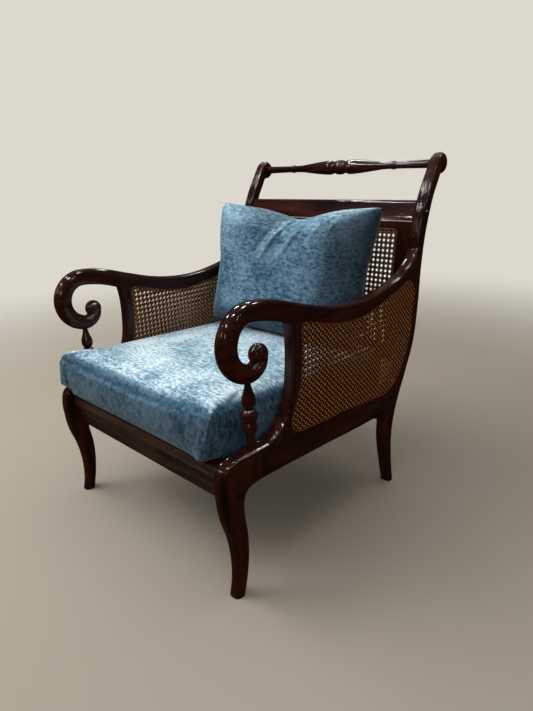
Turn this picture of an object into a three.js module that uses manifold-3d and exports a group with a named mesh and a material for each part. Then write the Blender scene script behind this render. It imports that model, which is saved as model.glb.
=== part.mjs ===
// Planters chair: a polished mahogany armchair with scroll arms, caned sides and back,
// a loose box seat cushion and a loose back cushion.
// Millimetres, +Z up. The sitter looks towards -Y, and the sitter's left is +X.

import * as THREE from 'three';
import { mergeVertices } from 'three/addons/utils/BufferGeometryUtils.js';
import Module from 'manifold-3d';

const wasm = await Module();
wasm.setup();

// Levels above the floor
const kneeTop = 317;
const armTop = 616;
const backTop = 866;

// Depths, measured backwards from the middle of the front foot
const postSetback = 185;
const seatRun = 380;
const backRake = 235;

// Width between the middles of the two side frames, and the timber of a side frame
const sideSpacing = 620;
const frameThickness = 30;

// Clearance that a glued or resting joint keeps
const jointGap = 0.3;
// How far a cutter runs past what it cuts
const overrun = 4;

// Rounding of the timber edges
const edgeRound = 2;
const legRound = 3.5;
const postNoseRound = 5.5;
const armTopRound = 8;

// Arm, scroll and rolled top of the back post
const scrollDepth = 40.5;
const scrollRadius = 60.25;
const scrollSwell = 4.8;
const scrollThickness = 37;
const curlRadius = 34;
const curlDepth = 39;
const curlTipDepth = 28;
const ballRadius = 21.5;
const ballInset = 7;
const rollRadius = 26.2;
const rollSetback = 2.3;

// Turned work; the baluster stands a little in front of the middle of the scroll
const balusterLead = 13;
const balusterRadius = 17.4;
const topRailRadius = 20.4;

// Cane: spacing of the weave, sheet, cover band and the shallow bed cut for them
const canePitch = 13.4;
const caneThickness = 1.6;
const bandWidth = 6.5;
const bandThickness = 1;
const openingSide = 22;
const caneMargin = 14;

// Rails across the chair
const frontRailHeight = 62;
const frontRailSetback = 13;
const frontRailDepth = 24;
// The rear rail stands across the front of the back posts.
const rearRailHeight = 46;
const rearRailDepth = 24;
const rearRailLead = 11;

// Loose seat frame, laid on the two rails and sloping down to the back
const seatSlope = THREE.MathUtils.degToRad(3);
const seatDrop = 51;
const seatFrameThickness = 24;
const seatMemberWidth = 42;
const seatNose = 8;
const seatTail = 12;
const seatCaneLap = 12;

// Back frame and crest board
const backFrameDepth = 20;
const stileWidth = 43;
const backTopRailHeight = 27;
const backBottomRailHeight = 42;
const caneLap = 8;
const crestHeight = 58.5;
const crestDepth = 19;
const crestSetIn = 4;
const crestLean = THREE.MathUtils.degToRad(25);

// Screws through the side frames, and the plugs over their heads
const screwRadius = 2.6;
const screwLength = 72;
const screwHeadRadius = 5.5;
const screwHeadHeight = 4;
const screwClearance = 0.3;
const plugRadius = 8.6;
const plugSeatDepth = 9;
const plugProud = 4;
const frontScrewDrop = 23;
const frontScrewSetback = 12;
const rearScrewDrop = 16;
const crestScrewRise = 25;

// Box seat cushion, which lies a little nearer the sitter's right
const seatCushionLeftGap = 20;
const seatCushionRightGap = 6;
const seatCushionTail = 21;
const seatCushionThickness = 122;
const seatCushionCrown = 9;
const seatCushionDrawIn = 4;
const seatCushionEdge = 13;
const seatCushionCorner = 10;
const seatCushionOverhang = 19;
const cushionRest = 0.5;

// Back cushion: its head lies one run behind its foot, and its rear face keeps a gap to the back
// frame. It is turned so that its upper left corner lies further back, and slants and dips a little.
const backCushionSideGap = 26;
const backCushionHeight = 363;
const backCushionFrontSwell = 84;
const backCushionGap = 23.8;
const backCushionSeam = 4;
const backCushionDrawIn = 16;
const backCushionLead = 88;
const backCushionRun = 97;
const backCushionTwist = 54;
const backCushionShift = 5;
const backCushionSlant = 14;
const backCushionDip = 10;

const mahogany = new THREE.MeshStandardMaterial({ color: 0x2a130b, roughness: 0.16, metalness: 0 });
const palerMahogany = new THREE.MeshStandardMaterial({ color: 0x43261a, roughness: 0.22, metalness: 0 });
const cane = new THREE.MeshStandardMaterial({ color: 0xa8743e, roughness: 0.5, metalness: 0 });
const paleVelvet = new THREE.MeshStandardMaterial({ color: 0x9bb9cb, roughness: 0.9, metalness: 0 });
const blueVelvet = new THREE.MeshStandardMaterial({ color: 0x5f88a5, roughness: 0.9, metalness: 0 });
const darkPlug = new THREE.MeshStandardMaterial({ color: 0x111413, roughness: 0.3, metalness: 0 });
const steel = new THREE.MeshStandardMaterial({ color: 0x8c8c88, roughness: 0.35, metalness: 1 });

// A depth or a level is written as stage plus share: 1.25 lies a quarter of the way through stage 1.
const depthStops = [0, postSetback, postSetback + seatRun, postSetback + seatRun + backRake];
const levelStops = [0, kneeTop, armTop, backTop];

function alongStops(stops, share) {
  const stage = Math.min(Math.max(Math.floor(share), 0), stops.length - 2);
  return stops[stage] + (share - stage) * (stops[stage + 1] - stops[stage]);
}

const depthAt = (share) => alongStops(depthStops, share);
const levelAt = (share) => alongStops(levelStops, share);

// Outlines of the side frame. Each row is one station across a member:
// depth and level of its front or upper edge, then of its rear or lower edge.
const postEdgeShares = [
  [2.023, 0, 2.126, 0], [1.964, 0.252, 2.066, 0.259], [1.929, 0.505, 2.055, 0.492],
  [1.963, 0.782, 2.128, 0.722], [2.136, 1.037, 2.291, 0.991], [2.306, 1.284, 2.438, 1.268],
  [2.366, 1.595, 2.498, 1.589], [2.396, 1.913, 2.523, 1.906], [2.438, 2.208, 2.57, 2.184],
  [2.519, 2.472, 2.643, 2.424], [2.643, 2.712, 2.74, 2.664], [2.798, 2.92, 2.847, 2.84],
  [2.847, 2.976, 2.906, 2.888],
];
const legEdgeShares = [
  [-0.076, 0, 0.07, 0], [-0.027, 0.11, 0.114, 0.12], [-0.016, 0.268, 0.154, 0.278],
  [-0.054, 0.442, 0.159, 0.448], [-0.13, 0.599, 0.127, 0.599], [-0.164, 0.751, 0.124, 0.691],
  [-0.158, 0.868, 0.151, 0.744], [-0.111, 0.959, 0.2, 0.771], [0.022, 0.998, 0.27, 0.784],
  [0.243, 1, 0.368, 0.789], [0.486, 1, 0.497, 0.789],
];
const railEdgeShares = [
  [0.378, 1, 0.411, 0.789], [0.811, 1, 0.811, 0.781], [1.105, 0.987, 1.103, 0.767],
  [1.292, 0.972, 1.289, 0.756], [1.5, 0.956, 1.497, 0.738], [1.674, 0.937, 1.671, 0.727],
  [1.847, 0.915, 1.829, 0.721], [1.947, 0.92, 1.892, 0.715], [2.038, 0.937, 1.937, 0.694],
  [2.132, 0.956, 1.976, 0.65],
];
const armPostEdgeShares = [
  [0.454, 0.975, 1.029, 0.975], [0.584, 1.012, 1.005, 1.023], [0.692, 1.04, 0.968, 1.067],
  [0.778, 1.087, 0.973, 1.11], [0.843, 1.144, 1.003, 1.157], [0.903, 1.227, 1.032, 1.234],
  [0.954, 1.338, 1.058, 1.341], [0.978, 1.478, 1.068, 1.478], [0.983, 1.639, 1.071, 1.632],
  [0.968, 1.732, 1.071, 1.712], [0.941, 1.819, 1.071, 1.779],
];
const armEdgeShares = [
  [2.464, 2.176, 2.421, 1.652], [2.383, 2.028, 2.362, 1.726], [2.285, 1.95, 2.289, 1.776],
  [2.166, 1.893, 2.174, 1.776], [2.03, 1.856, 2.043, 1.746], [1.921, 1.826, 1.929, 1.706],
  [1.695, 1.781, 1.695, 1.649], [1.487, 1.784, 1.484, 1.639], [1.276, 1.824, 1.266, 1.679],
  [1.066, 1.9, 1.05, 1.749], [0.703, 1.978, 0.67, 1.839],
];
// Outline of a caned panel, as depth and level
const caneEdgeShares = [
  [1.013, 0.975], [1.105, 0.957], [1.292, 0.945], [1.5, 0.929], [1.724, 0.904], [1.921, 0.885],
  [2.077, 0.94], [2.234, 1.09], [2.362, 1.318], [2.404, 1.582], [2.43, 1.699], [2.391, 1.776],
  [2.298, 1.824], [2.034, 1.774], [1.808, 1.701], [1.589, 1.657], [1.387, 1.677], [1.192, 1.737],
  [1.084, 1.773], [1.054, 1.749], [1.051, 1.615], [1.047, 1.472], [1.037, 1.358], [0.984, 1.194],
  [0.903, 1.084], [0.924, 1.013],
];

// The scroll runs forwards from the arm round one large arc, and curls in round a small one.
const scrollTurn = THREE.MathUtils.degToRad(160);
const curlTurn = THREE.MathUtils.degToRad(106);
const scrollStartShare = 0.405;

// Foot and head of the back frame's front face, as depth and level
const backFootShares = [2.29, 1.06];
const backHeadShares = [2.485, 2.345];

// Turned profiles: share of the length, share of the largest radius
const balusterProfileShares = [
  [0, 0.36], [0.03, 0.35], [0.118, 0.4], [0.211, 0.49], [0.287, 0.7], [0.343, 0.84], [0.4, 0.84],
  [0.428, 0.68], [0.447, 0.75], [0.495, 0.93], [0.551, 1], [0.617, 0.81], [0.649, 0.52],
  [0.683, 0.66], [0.74, 0.81], [0.796, 0.81], [0.891, 0.6], [0.965, 0.43], [1.1, 0.37],
];
const topRailProfileShares = [
  [0, 1], [0.03, 0.96], [0.058, 0.7], [0.07, 0.68], [0.085, 0.86], [0.125, 0.98], [0.2, 0.92],
  [0.34, 0.66], [0.49, 0.49], [0.575, 0.47], [0.6, 0.56], [0.615, 0.6], [0.63, 0.56],
  [0.65, 0.47], [0.8, 0.48], [1, 0.54],
];

const solidOf = (geometry) => {
  const bare = geometry.clone();
  bare.deleteAttribute('normal');
  bare.deleteAttribute('uv');
  const merged = mergeVertices(bare, jointGap / 1000);
  const mesh = new wasm.Mesh({
    numProp: 3,
    vertProperties: Float32Array.from(merged.attributes.position.array),
    triVerts: Uint32Array.from(merged.index.array),
  });
  return new wasm.Manifold(mesh);
};

const geometryOf = (solid) => {
  const mesh = solid.getMesh();
  const geometry = new THREE.BufferGeometry();
  geometry.setAttribute('position', new THREE.BufferAttribute(mesh.vertProperties, 3));
  geometry.setIndex(new THREE.BufferAttribute(mesh.triVerts, 1));
  geometry.computeVertexNormals();
  return geometry;
};

const signedVolume = (points, faces) => {
  let volume = 0;
  for (const [a, b, c] of faces) {
    volume += points[a].dot(new THREE.Vector3().crossVectors(points[b], points[c]));
  }
  return volume;
};

const closedGeometry = (points, faces) => {
  const outward = signedVolume(points, faces) > 0;
  const order = outward ? faces : faces.map(([a, b, c]) => [a, c, b]);
  const geometry = new THREE.BufferGeometry().setFromPoints(points);
  geometry.setIndex(order.flat());
  geometry.computeVertexNormals();
  return geometry;
};

// Rings of points, each joined to the next, with a flat fan at each end
const loft = (rings) => {
  const count = rings[0].length;
  const points = rings.flat();
  const faces = [];
  for (let r = 0; r + 1 < rings.length; r += 1) {
    for (let k = 0; k < count; k += 1) {
      const a = r * count + k;
      const b = r * count + ((k + 1) % count);
      faces.push([a, b, a + count], [b, b + count, a + count]);
    }
  }
  const last = points.length - count;
  for (let k = 1; k + 1 < count; k += 1) {
    faces.push([0, k + 1, k], [last, last + k, last + k + 1]);
  }
  return closedGeometry(points, faces);
};

const cornerSteps = 2;
const cornerSigns = [[1, 1], [-1, 1], [-1, -1], [1, -1]];

// Section across a member: a rectangle from its front edge to its rear edge with rounded corners
const sectionRing = ({ front, rear, thickness, frontRound, rearRound }) => {
  const middle = front.clone().add(rear).multiplyScalar(1 / 2);
  const reach = front.distanceTo(rear) / 2;
  const forward = front.clone().sub(rear).normalize();
  const half = thickness / 2;
  const ring = [];
  for (const [quarter, [alongSign, acrossSign]] of cornerSigns.entries()) {
    const round = Math.min(alongSign > 0 ? frontRound : rearRound, half, reach);
    for (let step = 0; step <= cornerSteps; step += 1) {
      const angle = (quarter + step / cornerSteps) * Math.PI / 2;
      const along = alongSign * (reach - round) + round * Math.cos(angle);
      const across = acrossSign * (half - round) + round * Math.sin(angle);
      ring.push(new THREE.Vector3(
        across, middle.x + forward.x * along, middle.y + forward.y * along,
      ));
    }
  }
  return ring;
};

// Smooth stations through the rows of an outline table
const stationsOf = (edgeShares, count) => {
  const corner = (depthShare, levelShare) => new THREE.Vector3(depthAt(depthShare), levelAt(levelShare));
  const fronts = new THREE.CatmullRomCurve3(edgeShares.map(([d, l]) => corner(d, l)));
  const rears = new THREE.CatmullRomCurve3(edgeShares.map(([, , d, l]) => corner(d, l)));
  const stations = [];
  for (let k = 0; k < count; k += 1) {
    const front = fronts.getPoint(k / (count - 1));
    const rear = rears.getPoint(k / (count - 1));
    stations.push({
      front: new THREE.Vector2(front.x, front.y),
      rear: new THREE.Vector2(rear.x, rear.y),
      share: k / (count - 1),
    });
  }
  return stations;
};

// The member as a closed surface, grown on every side by a clearance when it serves as a cutter
const memberGeometry = (member, grow = 0) => {
  const stations = member.stations.map((station) => {
    const outward = station.front.clone().sub(station.rear).normalize().multiplyScalar(grow);
    return {
      front: station.front.clone().add(outward),
      rear: station.rear.clone().sub(outward),
      thickness: station.thickness + 2 * grow,
      frontRound: station.frontRound + grow,
      rearRound: station.rearRound + grow,
    };
  });
  const middleOf = ({ front, rear }) => front.clone().add(rear).multiplyScalar(1 / 2);
  const lengthen = (end, inner) => {
    const push = middleOf(end).sub(middleOf(inner)).normalize().multiplyScalar(grow);
    end.front.add(push);
    end.rear.add(push);
  };
  lengthen(stations[0], stations[1]);
  lengthen(stations[stations.length - 1], stations[stations.length - 2]);
  return loft(stations.map(sectionRing));
};

const dress = (stations, sectionAt) => ({
  stations: stations.map((station) => ({ ...station, ...sectionAt(station.share) })),
});

const half = frameThickness / 2;

// How many stations each member has, and at which shares of its length its rounding changes
const postStationCount = 27;
const legStationCount = 21;
const railStationCount = 11;
const armPostStationCount = 13;
const armStationCount = 19;
const scrollStationCount = 15;
const curlStationCount = 11;
const postNoseStartShare = 0.25;
const postNoseEndShare = 0.5;
const postHeelEndShare = 0.33;
const armRoundStartShare = 0.83;

const backPost = dress(stationsOf(postEdgeShares, postStationCount), (share) => {
  const nose = THREE.MathUtils.smoothstep(share, postNoseStartShare, postNoseEndShare);
  const heel = THREE.MathUtils.smoothstep(share, 0, postHeelEndShare);
  return {
    thickness: frameThickness,
    frontRound: THREE.MathUtils.lerp(legRound, postNoseRound, nose),
    rearRound: THREE.MathUtils.lerp(legRound, edgeRound, heel),
  };
});

const frontLeg = dress(stationsOf(legEdgeShares, legStationCount), (share) => ({
  thickness: frameThickness,
  frontRound: THREE.MathUtils.lerp(legRound, edgeRound, share),
  rearRound: THREE.MathUtils.lerp(legRound, edgeRound, share),
}));

const plainSection = () => ({
  thickness: frameThickness,
  frontRound: edgeRound,
  rearRound: edgeRound,
});
const sideRail = dress(stationsOf(railEdgeShares, railStationCount), plainSection);
const armPost = dress(stationsOf(armPostEdgeShares, armPostStationCount), plainSection);

// The arm: the long member from the back post, then the arc of the scroll, then its curl
const scrollTopDepth = depthAt(scrollStartShare);
const scrollCentre = new THREE.Vector2(scrollTopDepth, armTop - scrollDepth / 2 - scrollRadius);

const arcStation = (centre, radius, angle, depth) => {
  const ray = new THREE.Vector2(Math.cos(angle), Math.sin(angle));
  return {
    front: ray.clone().multiplyScalar(radius + depth / 2).add(centre),
    rear: ray.clone().multiplyScalar(radius - depth / 2).add(centre),
  };
};

// The roll at the top of the back post also carries the turned top rail.
const rollCentre = new THREE.Vector2(depthStops[3] + rollSetback - rollRadius, backTop - rollRadius);

const arcEnd = (centre, radius, angle) =>
  new THREE.Vector2(Math.cos(angle), Math.sin(angle)).multiplyScalar(radius).add(centre);

const scrollEndAngle = Math.PI / 2 + scrollTurn;
const curlCentre = arcEnd(scrollCentre, scrollRadius - curlRadius, scrollEndAngle);
const curlEndAngle = scrollEndAngle + curlTurn;
const curlEnd = arcEnd(curlCentre, curlRadius, curlEndAngle);
const ballCentre = curlEnd.clone().add(
  curlCentre.clone().sub(curlEnd).normalize().multiplyScalar(ballInset),
);

const arm = (() => {
  const long = stationsOf(armEdgeShares, armStationCount).map((station) => {
    const tube = THREE.MathUtils.smoothstep(station.share, armRoundStartShare, 1);
    return {
      ...station,
      thickness: frameThickness,
      frontRound: THREE.MathUtils.lerp(armTopRound, half, tube),
      rearRound: THREE.MathUtils.lerp(edgeRound, half, tube),
    };
  });
  const scroll = [];
  for (let k = 0; k < scrollStationCount; k += 1) {
    const share = k / (scrollStationCount - 1);
    const widening = THREE.MathUtils.smoothstep(share, 0, 1 / 2);
    const thickness = THREE.MathUtils.lerp(frameThickness, scrollThickness, widening);
    const swell = scrollSwell * Math.sin(Math.PI * share);
    const depth = THREE.MathUtils.lerp(scrollDepth, curlDepth, share) + swell;
    const angle = Math.PI / 2 + scrollTurn * share;
    const station = arcStation(scrollCentre, scrollRadius + swell / 2, angle, depth);
    scroll.push({ ...station, thickness, frontRound: thickness / 2, rearRound: thickness / 2 });
  }
  const curl = [];
  for (let k = 1; k < curlStationCount; k += 1) {
    const share = k / (curlStationCount - 1);
    const depth = THREE.MathUtils.lerp(curlDepth, curlTipDepth, share);
    const station = arcStation(curlCentre, curlRadius, scrollEndAngle + curlTurn * share, depth);
    curl.push({
      ...station,
      thickness: scrollThickness,
      frontRound: scrollThickness / 2,
      rearRound: scrollThickness / 2,
    });
  }
  return { stations: [...long, ...scroll, ...curl] };
})();

// A turned or drilled piece stands along the member's thickness when its axis is turned to X.
const alongX = new THREE.Matrix4().makeRotationZ(-Math.PI / 2);
const boreSides = 16;
const drill = (radius, fromX, toX, depth, level) => {
  const geometry = new THREE.CylinderGeometry(radius, radius, toX - fromX, boreSides);
  geometry.applyMatrix4(alongX);
  geometry.translate((fromX + toX) / 2, depth, level);
  return solidOf(geometry);
};

// Outline of a caned panel in the plane of the side frame, moved inwards by an offset
const caneOutlineCount = 44;
const caneOutline = (inset) => {
  const points = caneEdgeShares.map(([d, l]) => new THREE.Vector3(depthAt(d), levelAt(l)));
  const curve = new THREE.CatmullRomCurve3(points, true);
  const outline = [];
  for (let k = 0; k < caneOutlineCount; k += 1) {
    const point = curve.getPoint(k / caneOutlineCount);
    const tangent = curve.getTangent(k / caneOutlineCount);
    outline.push(new THREE.Vector2(point.x - tangent.y * inset, point.y + tangent.x * inset));
  }
  return outline;
};

// Plates in the plane of the side frame or along X: the shape's own x runs along Y and its y along Z.
const shapeToSide = new THREE.Matrix4().makeBasis(
  new THREE.Vector3(0, 1, 0), new THREE.Vector3(0, 0, 1), new THREE.Vector3(1, 0, 0),
);
const sidePlate = (shape, fromX, toX) => {
  const geometry = new THREE.ExtrudeGeometry(shape, { depth: toX - fromX, bevelEnabled: false });
  geometry.applyMatrix4(shapeToSide);
  geometry.translate(fromX, 0, 0);
  return geometry;
};

const caneBedDepth = caneThickness + bandThickness + 2 * jointGap;

const caneBeds = (() => {
  const bed = new THREE.Shape(caneOutline(-jointGap));
  const outer = solidOf(sidePlate(bed, half - caneBedDepth, half + overrun));
  const inner = solidOf(sidePlate(bed, -half - overrun, -half + caneBedDepth));
  return outer.add(inner);
})();

const insidePolygon = (polygon) => (point) => {
  let inside = false;
  for (let k = 0, j = polygon.length - 1; k < polygon.length; j = k, k += 1) {
    const a = polygon[k];
    const b = polygon[j];
    const spans = (a.y > point.y) !== (b.y > point.y);
    if (spans && point.x < (b.x - a.x) * (point.y - a.y) / (b.y - a.y) + a.x) {
      inside = !inside;
    }
  }
  return inside;
};

// Square openings of the net that lie wholly inside an outline
const netOpenings = (outline, pitch) => {
  const inside = insidePolygon(outline);
  const box = new THREE.Box2().setFromPoints(outline);
  const centre = box.getCenter(new THREE.Vector2());
  const columns = Math.floor((box.max.x - box.min.x) / pitch);
  const rows = Math.floor((box.max.y - box.min.y) / pitch);
  const reach = openingSide / 2;
  const openings = [];
  for (let row = 0; row < rows; row += 1) {
    for (let column = 0; column < columns; column += 1) {
      const x = centre.x + (column - (columns - 1) / 2) * pitch;
      const y = centre.y + (row - (rows - 1) / 2) * pitch;
      const corners = [[-1, -1], [1, -1], [1, 1], [-1, 1]].map(
        ([sx, sy]) => new THREE.Vector2(x + sx * reach, y + sy * reach),
      );
      if (corners.every(inside)) {
        openings.push(new THREE.Shape(corners));
      }
    }
  }
  return openings;
};

// How many holes of the weave one opening of the net stands for, along each side
const outerNetHoleCount = 3;
const innerNetHoleCount = 4;
const backNetHoleCount = 4;

// A cane sheet in the plane of the side frame, with the openings of its net cut through
const sideCane = (fromX, holeCount) => {
  const sheet = sidePlate(new THREE.Shape(caneOutline(0)), fromX, fromX + caneThickness);
  const openings = sidePlate(
    netOpenings(caneOutline(caneMargin), canePitch * holeCount),
    fromX - overrun,
    fromX + caneThickness + overrun,
  );
  return geometryOf(solidOf(sheet).subtract(solidOf(openings)));
};

const caneBand = (() => {
  const shape = new THREE.Shape(caneOutline(0));
  shape.holes = [new THREE.Path(caneOutline(bandWidth).reverse())];
  return shape;
})();

// Turned piece from a profile of shares, closed on its axis
const turned = (profileShares, radius, length, sides) => {
  const points = profileShares.map(([along, out]) => new THREE.Vector2(out * radius, along * length));
  points.unshift(new THREE.Vector2(0, points[0].y));
  points.push(new THREE.Vector2(0, points[points.length - 1].y));
  return new THREE.LatheGeometry(points, sides);
};

const turnedSides = 12;
const rollSides = 24;
const ballSides = 16;
const ballRings = 12;

// The seat frame's lower face at a given depth, and the tops of the rails that carry it
const seatFrameLevel = kneeTop - seatDrop;
const seatFrameBottom = (depth) => seatFrameLevel - depth * Math.tan(seatSlope);
const frontRailTop = seatFrameBottom(frontRailSetback) - 2 * jointGap;
const rearRailFront = depthStops[2] - rearRailLead;
const rearRailTop = seatFrameBottom(rearRailFront + rearRailDepth) - jointGap;

// The back frame's front face, from foot to head, and the crest board's lower front edge
const backFrameFoot = new THREE.Vector2(depthAt(backFootShares[0]), levelAt(backFootShares[1]));
const backFrameHead = new THREE.Vector2(depthAt(backHeadShares[0]), levelAt(backHeadShares[1]));
const crestFoot = backFrameHead.clone().add(new THREE.Vector2(crestSetIn, jointGap));

// A place in the crest board's section, along its face and back from it
const crestPlace = (along, back) => [
  along * Math.sin(crestLean) + back * Math.cos(crestLean),
  along * Math.cos(crestLean) - back * Math.sin(crestLean),
];

// Where each screw crosses the side frame
const crestMiddle = crestPlace(crestScrewRise, crestDepth / 2);
const screwPlaces = {
  front: { depth: frontScrewSetback, level: frontRailTop - frontScrewDrop },
  rear: { depth: rearRailFront + rearRailDepth / 2, level: rearRailTop - rearScrewDrop },
  crest: { depth: crestFoot.x + crestMiddle[0], level: crestFoot.y + crestMiddle[1] },
};

const screwHole = ({ depth, level }) => {
  const seatFloor = half - plugSeatDepth;
  const bore = drill(screwRadius + screwClearance, -half - overrun, half, depth, level);
  return bore.add(drill(plugRadius + screwClearance, seatFloor, half + overrun, depth, level));
};

// Screw from the floor of its seat inwards, and the domed plug over it
const screwGeometry = ({ depth, level }) => {
  const profile = [
    new THREE.Vector2(0, 0),
    new THREE.Vector2(screwHeadRadius, 0),
    new THREE.Vector2(screwHeadRadius, -screwHeadHeight),
    new THREE.Vector2(screwRadius, -screwHeadHeight),
    new THREE.Vector2(screwRadius, -screwLength),
    new THREE.Vector2(0, -screwLength - screwRadius),
  ].reverse();
  const geometry = new THREE.LatheGeometry(profile, turnedSides);
  geometry.applyMatrix4(alongX);
  geometry.translate(half - plugSeatDepth + jointGap + screwHeadHeight, depth, level);
  return geometry;
};

const plugGeometry = ({ depth, level }) => {
  const inner = half - plugSeatDepth + 2 * jointGap + screwHeadHeight;
  const profile = [
    new THREE.Vector2(0, inner),
    new THREE.Vector2(plugRadius, inner),
    new THREE.Vector2(plugRadius, half + plugProud / 3),
    new THREE.Vector2(plugRadius * 2 / 3, half + plugProud * 5 / 6),
    new THREE.Vector2(0, half + plugProud),
  ];
  const geometry = new THREE.LatheGeometry(profile, turnedSides);
  geometry.applyMatrix4(alongX);
  geometry.translate(0, depth, level);
  return geometry;
};

// Pieces of one side frame, in its own plane: local x is 0 in the middle of the timber, + outwards
const sideFramePieces = () => {
  const cutter = (member) => solidOf(memberGeometry(member, jointGap));

  const roll = new THREE.CylinderGeometry(rollRadius, rollRadius, frameThickness, rollSides);
  roll.applyMatrix4(alongX);
  roll.translate(0, rollCentre.x, rollCentre.y);
  const post = solidOf(memberGeometry(backPost)).add(solidOf(roll));
  const postCutter = cutter(backPost);

  const ball = new THREE.SphereGeometry(ballRadius, ballSides, ballRings);
  ball.applyMatrix4(new THREE.Matrix4().makeRotationZ(Math.PI / 2));
  ball.scale(scrollThickness / 2 / ballRadius, 1, 1);
  ball.translate(0, ballCentre.x, ballCentre.y);
  const armSolid = solidOf(memberGeometry(arm)).add(solidOf(ball)).subtract(postCutter);
  const armCutter = cutter(arm);

  const legSolid = solidOf(memberGeometry(frontLeg)).subtract(screwHole(screwPlaces.front));
  const legCutter = cutter(frontLeg);
  const railSolid = solidOf(memberGeometry(sideRail)).subtract(legCutter).subtract(postCutter);
  const railCutter = cutter(sideRail);
  const armPostSolid = solidOf(memberGeometry(armPost))
    .subtract(railCutter)
    .subtract(legCutter)
    .subtract(armCutter);

  const balusterFoot = kneeTop + jointGap;
  const balusterTop = scrollCentre.y - scrollRadius - scrollDepth / 2;
  const baluster = turned(balusterProfileShares, balusterRadius, balusterTop - balusterFoot, turnedSides);
  baluster.applyMatrix4(new THREE.Matrix4().makeRotationX(Math.PI / 2));
  baluster.translate(0, scrollCentre.x - balusterLead, balusterFoot);

  const postWithHoles = post
    .subtract(screwHole(screwPlaces.rear))
    .subtract(screwHole(screwPlaces.crest));

  const bedOf = (solid) => geometryOf(solid.subtract(caneBeds));
  const caneFace = half - bandThickness - jointGap;
  return [
    ['front_leg', geometryOf(legSolid), mahogany],
    ['side_rail', bedOf(railSolid), mahogany],
    ['arm_post', bedOf(armPostSolid), mahogany],
    ['scroll_arm', bedOf(armSolid), mahogany],
    ['back_post', bedOf(postWithHoles), mahogany],
    ['baluster', geometryOf(solidOf(baluster).subtract(armCutter)), mahogany],
    ['outer_cane', sideCane(caneFace - caneThickness, outerNetHoleCount), cane],
    ['inner_cane', sideCane(-caneFace, innerNetHoleCount), cane],
    ['outer_cane_band', sidePlate(caneBand, half - bandThickness, half), cane],
    ['inner_cane_band', sidePlate(caneBand, -half, -half + bandThickness), cane],
    ['front_screw', screwGeometry(screwPlaces.front), steel],
    ['rear_screw', screwGeometry(screwPlaces.rear), steel],
    ['crest_screw', screwGeometry(screwPlaces.crest), steel],
    ['front_plug', plugGeometry(screwPlaces.front), darkPlug],
    ['rear_plug', plugGeometry(screwPlaces.rear), darkPlug],
    ['crest_plug', plugGeometry(screwPlaces.crest), darkPlug],
  ];
};

const chair = new THREE.Group();

const addPart = (name, geometry, material, parent = chair) => {
  const mesh = new THREE.Mesh(geometry, material);
  mesh.name = name;
  parent.add(mesh);
  return mesh;
};

// The mirrored copy swaps two corners of each face, so that it still faces outwards.
const mirrored = (geometry) => {
  const copy = geometry.index ? geometry.toNonIndexed() : geometry.clone();
  const place = copy.attributes.position;
  for (let k = 0; k < place.count; k += 3) {
    const [a, b, c] = [k, k + 1, k + 2].map((n) => new THREE.Vector3().fromBufferAttribute(place, n));
    place.setXYZ(k, -a.x, a.y, a.z);
    place.setXYZ(k + 1, -c.x, c.y, c.z);
    place.setXYZ(k + 2, -b.x, b.y, b.z);
  }
  copy.deleteAttribute('normal');
  copy.deleteAttribute('uv');
  const merged = mergeVertices(copy, jointGap / 1000);
  merged.computeVertexNormals();
  return merged;
};

const leftFrame = new THREE.Group();
leftFrame.position.x = sideSpacing / 2;
const rightFrame = new THREE.Group();
rightFrame.position.x = -sideSpacing / 2;
chair.add(leftFrame, rightFrame);
for (const [name, geometry, material] of sideFramePieces()) {
  addPart(`left_${name}`, geometry, material, leftFrame);
  addPart(`right_${name}`, mirrored(geometry), material, rightFrame);
}

// Pieces across the chair reach from one side frame to the other.
const innerHalf = sideSpacing / 2 - half - jointGap;

// A bar along X with a rounded section, from its lower front corner
const barShape = (depth, height, round) => {
  const shape = new THREE.Shape();
  shape.moveTo(round, 0);
  shape.lineTo(depth - round, 0);
  shape.absarc(depth - round, round, round, -Math.PI / 2, 0, false);
  shape.absarc(depth - round, height - round, round, 0, Math.PI / 2, false);
  shape.absarc(round, height - round, round, Math.PI / 2, Math.PI, false);
  shape.absarc(round, round, round, Math.PI, Math.PI * 3 / 2, false);
  return shape;
};
const barCurveSegments = 3;
const railCurveSegments = 5;
const crestCurveSegments = 6;
const barAcross = (shape, reach, curveSegments = barCurveSegments) => {
  const options = { depth: 2 * reach, bevelEnabled: false, curveSegments };
  const geometry = new THREE.ExtrudeGeometry(shape, options);
  geometry.applyMatrix4(shapeToSide);
  geometry.translate(-reach, 0, 0);
  return geometry;
};

const screwBores = ({ depth, level }) => {
  const bore = (side) => {
    const radius = screwRadius + screwClearance;
    const deepest = sideSpacing / 2 + half - plugSeatDepth - screwLength - overrun;
    const nearest = sideSpacing / 2;
    return side > 0
      ? drill(radius, deepest, nearest, depth, level)
      : drill(radius, -nearest, -deepest, depth, level);
  };
  return bore(1).add(bore(-1));
};

// The front rail's face is a shallow hollow that runs out to the nose of the seat frame.
const frontRailShape = (() => {
  const shape = new THREE.Shape();
  const top = frontRailTop;
  const bottom = top - frontRailHeight;
  const nose = frontRailSetback / 3;
  const back = frontRailSetback + frontRailDepth;
  shape.moveTo(frontRailSetback + edgeRound / 2, bottom);
  shape.lineTo(back, bottom);
  shape.lineTo(back, top - frontRailDepth * Math.tan(seatSlope));
  shape.lineTo(nose, top);
  shape.quadraticCurveTo(nose, (top + bottom) / 2, frontRailSetback, bottom + edgeRound / 2);
  return shape;
})();
addPart(
  'front_rail',
  geometryOf(
    solidOf(barAcross(frontRailShape, innerHalf, railCurveSegments))
      .subtract(screwBores(screwPlaces.front)),
  ),
  palerMahogany,
);

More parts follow.
